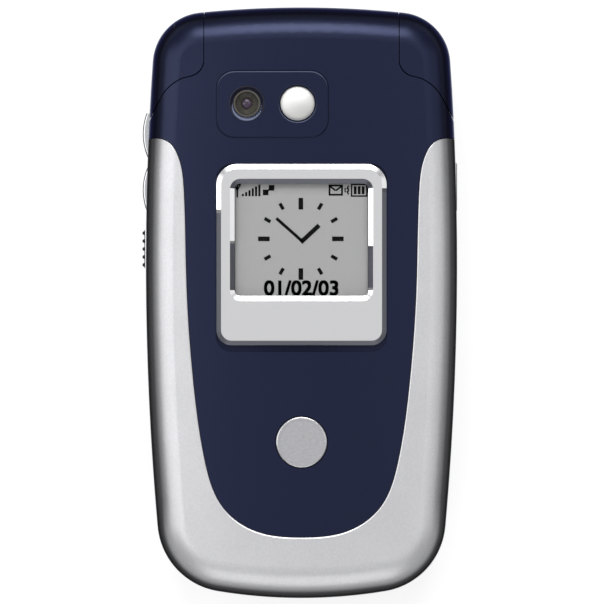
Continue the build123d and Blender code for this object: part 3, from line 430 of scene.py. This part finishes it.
        # Printed sign of the call key: matt green.
        FINISHES["green_ink"] = grained(
            "pad-printing ink, green", linear("#2E8B45"), 0.2, 0.1, 0.04, 0.001, Roughness=0.45)
        # Printed sign of the end key: matt red.
        FINISHES["red_ink"] = grained(
            "pad-printing ink, red", linear("#B3262B"), 0.2, 0.1, 0.04, 0.001, Roughness=0.45)
        # Print behind the window: a black frame round the picture.
        FINISHES["screen_mask"] = grained(
            "acrylic, black back print", linear("#0B0C0E"), 0.4, 0.1, 0.02, 0.0, Roughness=0.3)
        # Lit white parts of the picture: they glow a little.
        FINISHES["screen_light"] = grained(
            "liquid-crystal panel, lit white", linear("#F2F5FA"), 0.3, 0.02, 0.02, 0.0, Roughness=0.4,
            Emission_Color=(*linear("#F2F5FA"), 1), Emission_Strength=0.5)
        # Lit picture: a blue that brightens upwards and glows a little.
        FINISHES["screen_picture"] = wallpaper("liquid-crystal panel, lit picture")
        # Pale lips: a painted highlight, a thin pale line that stands for light caught on the edge.
        FINISHES["polished_edge"] = grained(
            "ABS, polished pale edge", linear("#434A62"), 0.2, 0.04, 0.03, 0.001, Roughness=0.5, Metallic=0.1)
        # Painted highlight under the lens: a grey-blue crescent where the bevel faces the lamps.
        FINISHES["lens_bevel"] = grained(
            "ABS, polished grey bevel", linear("#59617B"), 0.2, 0.04, 0.03, 0.001, Roughness=0.45, Metallic=0.1)
        # Moulded hood: olive brown and matt, in steps towards the lens.
        FINISHES["lens_hood"] = grained(
            "polycarbonate, moulded hood", linear("#403D35"), 0.15, 0.1, 0.05, 0.002, Roughness=0.45)
        # Coated glass: violet, with one small highlight.
        FINISHES["coated_lens"] = grained(
            "optical glass, violet coating", linear("#44384A"), 0.3, 0.05, 0.02, 0.0, Roughness=0.12)
        for row in frame["record"]["materials"]:
            finish = FINISHES[row["slot"]]
            for node in NODES.values():
                for slot in node.material_slots:
                    if slot.material and slot.material.name.split(".")[0] == row["slot"]:
                        slot.material = finish
        # Pins painted dark as painted shade, so that the hinge's seams stay dark.
        FINISHES["dark_steel"] = grained(
            "steel, phosphated", linear("#17181C"), 0.15, 0.1, 0.05, 0.003, Roughness=0.6, Metallic=0.5)
        own = (("keypad_fascia", "fascia_paint"), ("hinge_sleeve", "dark_steel"), ("hinge_cam", "dark_steel"))
        for name, finish in own:
            for slot in NODES[name].material_slots:
                slot.material = FINISHES[finish]
        return {"FINISHED"}


# ---- outer display, camera and keys ----

class PHONE_OT_outer_display(bpy.types.Operator):
    """Makes the clock face, date and signs of the outer display"""
    bl_idname = "phone.outer_display"
    bl_label = "Draw the Outer Display"

    def execute(self, context):
        ink = FINISHES["lcd_ink"]
        low = top_of("outer_display")
        high = low + 0.03 * MM
        x, y = -0.1, 9.7
        hours = np.arange(12)
        long = hours % 3 == 0
        angle = math.pi / 6 * hours
        across, along = np.where(long, 5.62, 5.85), np.where(long, 5.34, 5.69)
        ticks = np.stack([x + across * np.sin(angle), y + along * np.cos(angle), np.where(long, 0.7, 0.52),
                          np.where(long, 1.75, 1.05), -30.0 * hours], -1)
        hands = [(-1.78, 11.01, 0.46, 5.47, 48.5), (1.28, 10.46, 0.68, 3.82, -47)]
        signal = [(-8.9 + 0.5 * i, 16.35 + 0.14 * i, 0.32, 0.35 + 0.28 * i, 0) for i in range(6)]
        linked = [(-5.45, 16.75, 0.85, 0.85, 0), (-4.55, 17.45, 0.85, 0.85, 0), (-5.0, 17.1, 0.25, 1.0, -52)]
        mast = [(-9.75, 17.0, 0.26, 2.0, 0), (-9.75, 17.95, 1.1, 0.24, 0), (-9.98, 17.5, 0.2, 0.95, 25),
                (-9.52, 17.5, 0.2, 0.95, -25)]
        letter = [(5.2, 17.8, 2.1, 0.28, 0), (5.2, 16.4, 2.1, 0.28, 0), (4.25, 17.1, 0.28, 1.6, 0),
                  (6.15, 17.1, 0.28, 1.6, 0), (4.7, 17.4, 0.26, 1.2, 52), (5.7, 17.4, 0.26, 1.2, -52)]
        waves = [(6.62, 17.1, 0.2, 0.7, 0), (7.02, 17.5, 0.22, 0.6, -25), (7.12, 17.1, 0.22, 0.5, 0),
                 (7.02, 16.7, 0.22, 0.6, 25)]
        battery = [(8.75, 17.95, 2.5, 0.22, 0), (8.75, 16.2, 2.5, 0.22, 0), (7.6, 17.08, 0.22, 1.9, 0),
                   (9.9, 17.08, 0.22, 1.9, 0), (10.1, 17.08, 0.24, 0.8, 0), (8.15, 17.08, 0.42, 1.2, 0),
                   (8.75, 17.08, 0.42, 1.2, 0), (9.35, 17.08, 0.42, 1.2, 0)]
        marks = bars(np.concatenate([ticks, hands, signal, mast, linked, letter, waves, battery]), low, high)
        mesh_piece("outer_display_marks", *marks, "lid", "outer_lcd", ink, smooth=False)
        date = lettering([("01/02/03", -0.05, 2.24, 2.15, 1.05, low + 0.02 * MM)], 0.02 * MM, 0.09)
        mesh_piece("outer_display_date", *date, "lid", "outer_lcd", ink, smooth=False)
        return {"FINISHED"}


def rounded_frame(half, foot, top, corner_top, corner_foot, steps=14, side=40):
    """Closed outline with round corners, anticlockwise from the right side's foot, in mm.
    A corner is its centre plus its radius times (cos a, sin a); a side is a straight run between two corners."""
    corners = [(half - corner_top, top - corner_top, corner_top, 0),
               (corner_top - half, top - corner_top, corner_top, 1),
               (corner_foot - half, foot + corner_foot, corner_foot, 2),
               (half - corner_foot, foot + corner_foot, corner_foot, 3)]
    arcs = []
    for x, y, radius, quarter in corners:
        angle = math.pi / 2 * (quarter + np.linspace(0, 1, steps))
        arcs.append(np.column_stack([x + radius * np.cos(angle), y + radius * np.sin(angle)]))
    part = np.linspace(0, 1, side + 2)[1:-1, None]
    runs = [arcs[k][-1] * (1 - part) + arcs[(k + 1) % 4][0] * part for k in range(4)]
    return np.concatenate([line for pair in zip(arcs, runs) for line in pair])


def ringed(rows, closed=True):
    """Points and faces of a tube whose section is carried round an outline: rows are outlines of equal count,
    each with its heights, from the outside over the top to the inside and back, all in mm. A tube along an open
    line gets a face over each end."""
    grid = np.stack([np.column_stack([plan, np.broadcast_to(height, len(plan))]) for plan, height in rows]) * MM
    count, steps = grid.shape[:2]
    row, here = np.arange(count)[:, None], np.arange(steps)
    after, above = (here + 1) % steps, (row + 1) % count
    faces = np.stack([row * steps + here, row * steps + after, above * steps + after, above * steps + here], -1)
    if closed:
        return grid.reshape(-1, 3), faces.reshape(-1, 4)
    end = np.arange(count) * steps
    return grid.reshape(-1, 3), [*faces[:, :-1].reshape(-1, 4), end, end[::-1] + steps - 1]


def smooth_line(points, count):
    """Points along a curve through the given ones: each coordinate is a cubic of the distance run, and its bends
    at the given points come from one linear system, so that slope and bend run on through every point."""
    run = np.concatenate([[0], np.cumsum(np.hypot(*np.diff(points, axis=0).T))])
    step = np.diff(run)
    k = np.arange(1, len(run) - 1)
    system, pull = np.eye(len(run)), np.zeros_like(points)
    system[k, k - 1], system[k, k], system[k, k + 1] = step[:-1], 2 * (step[:-1] + step[1:]), step[1:]
    pull[1:-1] = 6 * np.diff(np.diff(points, axis=0) / step[:, None], axis=0)
    bend = np.linalg.solve(system, pull)
    here = np.linspace(0, run[-1], count)
    i = np.clip(np.searchsorted(run, here, side="right") - 1, 0, len(step) - 1)
    past, left, wide = (here - run[i])[:, None], (run[i + 1] - here)[:, None], step[i][:, None]
    return (bend[i] * left ** 3 + bend[i + 1] * past ** 3) / (6 * wide) \
        + (points[i] / wide - bend[i] * wide / 6) * left + (points[i + 1] / wide - bend[i + 1] * wide / 6) * past


class PHONE_OT_trim(bpy.types.Operator):
    """Makes the bevelled inner edge of the side frame and the skin over the left knuckle's open socket"""
    bl_idname = "phone.trim"
    bl_label = "Trim the Housings"

    def execute(self, context):
        half, shoulder, foot = 23.75, 25.1, -35.6
        round_off, crown, middle, widest, side = 4.85, CROWN, -136.4, 6.0, 450.0
        right = np.array([(half - x, y) for x, y in (
            (-0.85, shoulder - 0.9), (1.35, shoulder - 0.08), (3.5, shoulder - 0.65), (5.05, shoulder - 2.9),
            (5.92, shoulder - 8.1), (6.3, foot + 38.6), (7.34, foot + 23.6), (9.09, foot + 11.6),
            (11.79, foot + 4.6), (16.41, foot + 1.1), (half, foot))])
        line = np.concatenate([right * (-1, 1), right[-2::-1]])
        along = np.concatenate([line[1:2] - line[:1], line[2:] - line[:-2], line[-1:] - line[-2:-1]])
        outward = np.column_stack([along[:, 1], -along[:, 0]]) / np.hypot(*along.T)[:, None]

        def surface(plan):
            """Height of the lid's skin: the crown, a circle of 160 mm, or the round edge where that lies lower.
            The round edge is a circle of 4.85 mm whose middle keeps that distance from the crown and the side."""
            x = np.abs(plan[:, 0])
            inside = half - side + np.sqrt(side ** 2 - (plan[:, 1] - widest) ** 2) - round_off
            over = np.sqrt(np.clip(round_off ** 2 - (x - inside) ** 2, 0, None))
            edge = middle + np.sqrt((crown - round_off) ** 2 - inside ** 2) + over
            return np.where(x > inside * (1 + round_off / (crown - round_off)), edge,
                            middle + np.sqrt(crown ** 2 - x ** 2))

        count = 700
        inner = smooth_line(line + outward * 0.075, count)
        outer = smooth_line(line + outward * 0.235, count)
        kept = (np.abs(inner[:, 0]) < 20.6) & (np.abs(outer[:, 0]) < 20.8)
        inner, outer = inner[kept], outer[kept]
        taper = np.where(inner[:, 1] > 15, np.clip((20.7 - np.abs(inner[:, 0])) / 1.6, 0.04, 1), 1)
        outer = inner + (outer - inner) * taper[:, None]
        low, high = surface(inner), surface(outer)
        rows = [(inner, low - 0.05), (inner, low + 0.004), (outer, high + 0.004 + 0.06 * taper), (outer, high - 0.05)]
        points, faces = ringed(rows[::-1], closed=False)
        mesh_piece("frame_edge", points, faces, "lid", "silver_plastic", FINISHES["silver_plastic"], smooth=False)

        # The left pin's socket breaks through the solid's rounded corner; a torus patch closes it to the eye.
        x, rise = np.meshgrid(np.linspace(-20.1, -18.7, 24), np.radians(np.linspace(2, 48, 40)))
        ball, reach, centre = 4.791 - 0.012, 2.683, (-14.934, 36.769, 17.885)
        y = centre[1] + np.sqrt((reach + ball * np.cos(rise)) ** 2 - (x - centre[0]) ** 2)
        points = np.stack([x, y, centre[2] + ball * np.sin(rise)], -1).reshape(-1, 3) * MM
        row, here = np.arange(39)[:, None] * 24, np.arange(23)
        faces = np.stack([row + here, row + 24 + here, row + 25 + here, row + 1 + here], -1).reshape(-1, 4)
        skin = mesh_piece("knuckle_skin", points, faces, "base", "blue_plastic", FINISHES["blue_plastic"])
        wall = skin.modifiers.new("wall", "SOLIDIFY")
        wall.thickness = 0.06 * MM
        wall.offset = -1
        return {"FINISHED"}


class PHONE_OT_bezel(bpy.types.Operator):
    """Makes the bezel of the outer display, whose bevels turn from flat to steep down its sides"""
    bl_idname = "phone.bezel"
    bl_label = "Make the Bezel"

    def execute(self, context):
        sizes = context.scene.phone_sizes
        low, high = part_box("display_bezel")
        pane_low, pane_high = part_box("outer_display_window")
        half, foot, top = high.x / MM, low.y / MM, high.y / MM
        face, pane = high.z / MM, pane_high.z / MM + 0.02
        wide = sizes.bezel_bevel / MM
        corner_top, corner_foot, view_corner = 3.1, 2.3, 0.9
        edge = rounded_frame(half, foot, top, corner_top, corner_foot)
        rim = rounded_frame(half - wide, foot + wide, top - wide, corner_top - wide, corner_foot - wide)
        view_half, view_foot, view_top = 10.15, 1.0, 18.1
        view = rounded_frame(view_half, view_foot, view_top, view_corner, view_corner)
        lip = rounded_frame(view_half + wide, view_foot - wide, view_top + wide, view_corner + wide,
                            view_corner + wide)
        seat = rounded_frame(pane_high.x / MM + 0.05, pane_low.y / MM - 0.05, pane_high.y / MM + 0.05, 0.95, 0.95)
        left = edge[:, 0] < 0
        bright_edge = edge[:, 1] > np.where(left, 13.8, 16.9)
        edge_drop = np.where(bright_edge, 0.3, 0.62)
        bright_view = ((view[:, 1] > np.where(view[:, 0] < 0, 9.2, 8.3)) & (view[:, 1] < view_top - 0.7)) \
            | (view[:, 1] < 2.2)
        view_drop = np.where(bright_view, 0.28, 0.66)
        rows = [(edge, face - 1.6), (edge, face - edge_drop), (rim, face), (lip, face), (view, face - view_drop),
                (view, pane), (seat, pane), (seat, face - 1.6)]
        points, faces = ringed(rows)
        piece = mesh_piece("bezel", points, faces, "lid", "bezel_metal", FINISHES["bezel_metal"])
        # Painted shade: the darker copy of the plating goes on the outer wall and where the bevels and the inner wall
        # are steep.
        piece.data.materials.append(FINISHES["shaded_metal"])
        dark = np.zeros((len(rows), len(edge)), np.int32)
        dark[0], dark[1], dark[3:5] = 1, ~bright_edge, ~bright_view
        piece.data.polygons.foreach_set("material_index", dark.ravel())
        piece.data.set_sharp_from_angle(angle=math.radians(15))
        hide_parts("display_bezel")
        return {"FINISHED"}


def crescent(centre, radius, wide, height):
    """Points and faces of a thin pale lip round a hole, a painted highlight: it is widest towards the foot and dies
    away towards the top.
    Its width is wide times the part of the angle that points to the foot; height gives z in mm at x and radius."""
    angle = np.linspace(0, 2 * math.pi, 96, endpoint=False)
    grown = radius + 0.015 + wide * np.clip(-np.sin(angle), 0, 1) ** 0.8
    rows = []
    for reach, lift in ((radius, -0.02), (radius, 0.012), (grown, 0.012), (grown, -0.02)):
        x = centre[0] + reach * np.cos(angle)
        rows.append((np.column_stack([x, centre[1] + reach * np.sin(angle)]), height(x, reach) + lift))
    return ringed(rows)


class PHONE_OT_camera(bpy.types.Operator):
    """Makes the camera's front lens, its stepped hood and the pale lips, painted highlights, of the camera's and the
    mirror's recess
    """
    bl_idname = "phone.camera"
    bl_label = "Make the Camera Lens"

    def execute(self, context):
        low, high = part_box("camera_window")
        centre = ((low.x + high.x) / 2 / MM, (low.y + high.y) / 2 / MM)
        base = top_of("camera_module") / MM
        hood = [(0.8, base), (0.8, base + 0.2), (1.1, base + 0.3), (1.15, base + 0.38), (1.99, base + 0.6),
                (2.0, base + 0.67), (2.03, base + 0.68), (2.03, base)]
        mesh_piece("camera_hood", *turned(hood, centre), "lid", "camera_black", FINISHES["lens_hood"])
        steps = np.linspace(0, 1, 12)
        cap = [(0.78 * math.sin(t * math.pi / 2), base + 0.06 + 0.36 * math.cos(t * math.pi / 2))
               for t in steps[::-1]]
        cap[-1] = (0.001, cap[-1][1])
        mesh_piece("camera_lens", *turned(cap, centre), "lid", "clear_window", FINISHES["coated_lens"])
        pane = high.z / MM
        under, over, inner, outer = pane - 0.02, pane + 0.01, 1.78, 2.03
        print_ring = [(inner, under), (inner, over), (outer, over), (outer, under), (inner, under)]
        mesh_piece("camera_print", *turned(print_ring, centre), "lid", "camera_black", FINISHES["lens_hood"],
                   smooth=False)
        # Painted highlight: a grey-blue crescent on the recess's bevel, widest at the foot.
        mesh_piece("camera_lip", *crescent(centre, 2.14, 0.54, lambda x, r: pane - 0.3 + 0.9 * (r - 2.07) / 0.53),
                   "lid", "ring_plastic", FINISHES["lens_bevel"])
        low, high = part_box("portrait_mirror")
        centre = ((low.x + high.x) / 2 / MM, (low.y + high.y) / 2 / MM)
        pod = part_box("lid_outer_housing")[1].z / MM
        # Painted highlight: a thin pale crescent round the mirror's recess.
        mesh_piece("mirror_lip", *crescent(centre, 2.84, 0.14, lambda x, r: pod - x ** 2 / (2 * CROWN)),
                   "lid", "ring_plastic", FINISHES["polished_edge"])
        sizes = context.scene.phone_sizes
        middle = (sizes.pod_centre_x / MM, sizes.pod_centre_y / MM)
        # Painted highlight: a thin pale line round the pod, widest along its top edge and thinning away down its
        # sides.
        outer = rounded_frame(sizes.pod_width / 2 / MM - 0.2, -sizes.pod_height / 2 / MM + 0.2,
                              sizes.pod_height / 2 / MM - 0.2, 2.6, 2.6)
        thin = 0.003 + 0.14 * np.clip((outer[:, 1:] - 2.6) / 2.3, 0, 1)
        inner = outer - thin * outer / np.abs(outer).max(0)
        rows = []
        for plan, lift in ((outer, -0.02), (outer, 0.012), (inner, 0.012), (inner, -0.02)):
            rows.append((plan + middle, pod - (plan[:, 0] + middle[0]) ** 2 / (2 * CROWN) + lift))
        mesh_piece("pod_edge", *ringed(rows), "lid", "ring_plastic", FINISHES["polished_edge"])
        return {"FINISHED"}


class PHONE_OT_legends(bpy.types.Operator):
    """Makes the digits, letters and signs on the keys"""
    bl_idname = "phone.legends"
    bl_label = "Print the Keys"

    def execute(self, context):
        ink, depth = FINISHES["key_ink"], 0.012 * MM
        letters = {"2": "ABC", "3": "DEF", "4": "GHI", "5": "JKL", "6": "MNO", "7": "PQRS", "8": "TUV",
                   "9": "WXYZ", "0": "+"}
        names = {"star": "*", "hash": "#"}
        for name in NODES:
            if not name.startswith("key_") or name not in frame["bodies"]:
                continue
            low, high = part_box(name)
            x, y = (low.x + high.x) / 2 / MM, (low.y + high.y) / 2 / MM
            sign = name[4:]
            level = high.z + depth / 2
            rows = [(names.get(sign, sign), x - 2.1 if sign in letters else x, y, 2.7, 1.0, level)]
            if sign in letters:
                rows.append((letters[sign], x + 1.85, y, 1.2, 1.0 if len(letters[sign]) < 4 else 0.85, level))
            mesh_piece(name + "_legend", *lettering(rows, depth, 0.05), name, "key_silver", ink, smooth=False)
        return {"FINISHED"}


def handset(x, y, turn):
    """Rows of bars that draw a small handset: a back and two ends, turned as one about its centre."""
    rows = np.array([(0, 0.35, 3.4, 0.5, 0), (-1.3, -0.2, 0.85, 0.75, 0), (1.3, -0.2, 0.85, 0.75, 0)])
    spin = np.radians(turn)
    place = rows[:, :2] @ np.array([(np.cos(spin), np.sin(spin)), (-np.sin(spin), np.cos(spin))])
    return np.column_stack([place + (x, y), rows[:, 2:4], rows[:, 4] + turn])


class PHONE_OT_signs(bpy.types.Operator):
    """Makes the signs on the soft keys, the call keys, the clear key and the navigation ring"""
    bl_idname = "phone.signs"
    bl_label = "Print the Function Keys"

    def execute(self, context):
        depth = 0.012 * MM

        def centre(name):
            low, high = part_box(name)
            return (low.x + high.x) / 2 / MM, (low.y + high.y) / 2 / MM, high.z

        for name in ("soft_key_left", "soft_key_right"):
            x, y, top = centre(name)
            mesh_piece(name + "_sign", *bars([(x, y, 2.6, 0.45, 0)], top, top + depth), name, "key_silver",
                       FINISHES["key_ink"], smooth=False)
        for name, ink, turn in (("send_key", "green_ink", 45), ("end_key", "red_ink", 0)):
            x, y, top = centre(name)
            mesh_piece(name + "_sign", *bars(handset(x, y, turn), top, top + depth), name, "call_keys",
                       FINISHES[ink], smooth=False)
        x, y, top = centre("clear_key")
        mesh_piece("clear_key_sign", *lettering([("C", x, y, 1.9, 1.0, top + depth / 2)], depth, 0.04), "clear_key",
                   "key_silver", FINISHES["key_ink"], smooth=False)
        x, y, top = centre("nav_ring")
        turns = np.radians([0, 90, 180, 270])
        reach = 6.6
        rows = []
        for lean in (-1, 1):
            px = x + reach * np.sin(turns) + 0.42 * lean * np.cos(turns)
            py = y + reach * np.cos(turns) - 0.42 * lean * np.sin(turns)
            rows.append(np.column_stack([px, py, np.full((4, 2), (1.4, 0.36)), -np.degrees(turns) - 45 * lean]))
        mesh_piece("nav_ring_signs", *bars(np.concatenate(rows), top, top + depth), "nav_ring", "nav_metal",
                   FINISHES["key_ink"], smooth=False)
        return {"FINISHED"}


class PHONE_OT_main_display(bpy.types.Operator):
    """Makes the picture, clock and signs of the main display inside the lid"""
    bl_idname = "phone.main_display"
    bl_label = "Draw the Main Display"

    def execute(self, context):
        mesh = NODES["inner_display"].data
        points = np.empty(len(mesh.vertices) * 3)
        mesh.vertices.foreach_get("co", points)
        points = points.reshape(-1, 3)
        face = points[:, 2].min()
        glass = points[points[:, 2] < face + 0.05 * MM] / MM
        (x0, y0), (x1, y1) = glass[:, :2].min(0), glass[:, :2].max(0)
        x, y, width, height = (x0 + x1) / 2, (y0 + y1) / 2, x1 - x0, y1 - y0

        def layer(name, rows, k, finish):
            mesh_piece(name, *bars(rows, face - (k + 1) * 0.015 * MM, face - k * 0.015 * MM), "lid", "inner_lcd",
                       FINISHES[finish], smooth=False)

        layer("main_display_mask", [(x, y, width - 0.1, height - 0.1, 0)], 0, "screen_mask")
        layer("main_display_picture", [(x, y + 0.6, width - 3.4, height - 4.6, 0)], 1, "screen_picture")
        top = y - height / 2 + 3.4
        left, right = x - width / 2 + 2.6, x + width / 2 - 2.6
        signal = [(left + 0.8 * i, top + 0.6 - 0.22 * i, 0.5, 0.5 + 0.44 * i, 0) for i in range(5)]
        battery = [(right - 1.5, top + 1.0, 3.0, 0.25, 0), (right - 1.5, top - 0.6, 3.0, 0.25, 0),
                   (right - 3.0, top + 0.2, 0.25, 1.85, 0), (right, top + 0.2, 0.25, 1.85, 0),
                   (right - 2.4, top + 0.2, 0.55, 1.0, 0), (right - 1.5, top + 0.2, 0.55, 1.0, 0),
                   (right - 0.6, top + 0.2, 0.55, 1.0, 0)]
        foot = y + height / 2 - 3.4
        soft = [(left + 2.4, foot, 4.4, 0.5, 0), (right - 2.4, foot, 4.4, 0.5, 0)]
        rule = [(x, top + 2.0, width - 3.8, 0.15, 0), (x, foot - 1.5, width - 3.8, 0.15, 0)]
        layer("main_display_signs", signal + battery + soft + rule, 2, "screen_light")
        clock = lettering([("10:08", x, y - 4.0, 6.0, 1.0, face - 0.038 * MM)], 0.014 * MM, 0.12, flip=True)
        mesh_piece("main_display_clock", *clock, "lid", "inner_lcd", FINISHES["screen_light"], smooth=False)
        return {"FINISHED"}


# ---- stage ----

class PHONE_OT_stage(bpy.types.Operator):
    """Makes the pale floor, the soft lights and the camera"""
    bl_idname = "phone.stage"
    bl_label = "Set the Stage"

    def execute(self, context):
        scene = context.scene
        span = 3.0
        low = -0.1 * MM
        corners = [(-span, -span, low), (span, -span, low), (span, span, low), (-span, span, low)]
        mesh = bpy.data.meshes.new("studio_floor")
        mesh.from_pydata(corners, [], [(0, 1, 2, 3)])
        floor = bpy.data.objects.new("studio_floor", mesh)
        scene.collection.objects.link(floor)
        made, tree, principled, _ = start_material("paper, white background", Roughness=0.9)
        paths = add(tree, "LightPath").outputs
        seen = add(tree, "Math", {0: paths["Is Camera Ray"], 1: paths["Is Glossy Ray"]},
                   operation="MAXIMUM").outputs[0]
        seen = add(tree, "Math", {0: seen, 1: paths["Is Transmission Ray"]}, operation="MAXIMUM").outputs[0]
        glow = add(tree, "Math", {0: seen, 1: 0.75}, operation="MULTIPLY").outputs[0]
        grey = (*linear("#9C9C9C"), 1)
        principled.inputs["Base Color"].default_value = grey
        principled.inputs["Specular IOR Level"].default_value = 0.0
        principled.inputs["Emission Color"].default_value = (1, 1, 1, 1)
        tree.links.new(glow, principled.inputs["Emission Strength"])
        mesh.materials.append(made)

        world = bpy.data.worlds.new("studio_room")
        world.use_nodes = True
        scene.world = world
        world.node_tree.nodes["Background"].inputs["Color"].default_value = (0.8, 0.8, 0.8, 1)
        world.node_tree.nodes["Background"].inputs["Strength"].default_value = 0.28

        lamps = [
            ("softbox_overhead", (0.0, 0.1, 1.2), (1.6, 1.6), 3.35),
            ("softbox_left", (-0.64, 0.1, 0.68), (0.5, 0.9), 2.8),
            ("softbox_right", (0.64, 0.1, 0.68), (0.5, 0.9), 1.05),
            ("softbox_near", (0.0, -0.72, 0.50), (0.9, 0.6), 2.4),
            ("softbox_far", (0.0, 0.66, 0.72), (0.66, 0.5), 7.2),
        ]
        for name, place, size, power in lamps:
            light = bpy.data.lights.new(name, "AREA")
            light.shape = "RECTANGLE"
            light.size, light.size_y = size
            light.energy = power
            lamp = bpy.data.objects.new(name, light)
            aim = (Vector((0, 0, 0.02)) - Vector(place)).to_track_quat("-Z", "Y")
            lamp.matrix_world = Matrix.Translation(place) @ aim.to_matrix().to_4x4()
            lamp.visible_camera = False
            scene.collection.objects.link(lamp)

        # The picture has 604 rows, and each spans 0.1525 mm on the phone.
        rows, pitch = 604, 0.1525
        lens, sensor, view_height = 400, 36, rows * pitch * MM
        distance = view_height * lens / sensor
        eye = bpy.data.cameras.new("overhead_camera")
        eye.lens = lens
        eye.sensor_width = sensor
        eye.clip_end = 20
        camera = bpy.data.objects.new("overhead_camera", eye)
        camera.location = (-0.23 * MM, 0.11 * MM, 18 * MM + distance)
        scene.collection.objects.link(camera)
        scene.camera = camera
        scene.view_settings.view_transform = "Standard"
        return {"FINISHED"}


class PHONE_PT_panel(bpy.types.Panel):
    """Lists the steps that dress the phone"""
    bl_idname = "PHONE_PT_panel"
    bl_label = "Flip Phone"
    bl_space_type = "VIEW_3D"
    bl_region_type = "UI"
    bl_category = "Flip Phone"

    def draw(self, context):
        for step in STEPS:
            self.layout.operator(step.bl_idname)
        for name in PhoneColours.__annotations__:
            self.layout.prop(context.scene.phone_colours, name)
        for name in PhoneSizes.__annotations__:
            self.layout.prop(context.scene.phone_sizes, name)


STEPS = (PHONE_OT_stage, PHONE_OT_finishes, PHONE_OT_trim, PHONE_OT_bezel, PHONE_OT_outer_display,
         PHONE_OT_camera, PHONE_OT_legends, PHONE_OT_signs, PHONE_OT_main_display)
CLASSES = (PhoneColours, PhoneSizes, *STEPS, PHONE_PT_panel)


def register():
    for made in CLASSES:
        bpy.utils.register_class(made)
    bpy.types.Scene.phone_colours = PointerProperty(type=PhoneColours)
    bpy.types.Scene.phone_sizes = PointerProperty(type=PhoneSizes)


def unregister():
    del bpy.types.Scene.phone_sizes
    del bpy.types.Scene.phone_colours
    for made in reversed(CLASSES):
        bpy.utils.unregister_class(made)


def main():
    """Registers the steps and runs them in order."""
    register()
    for step in STEPS:
        group, action = step.bl_idname.split(".")
        getattr(getattr(bpy.ops, group), action)()


if __name__ == "__main__":
    main()
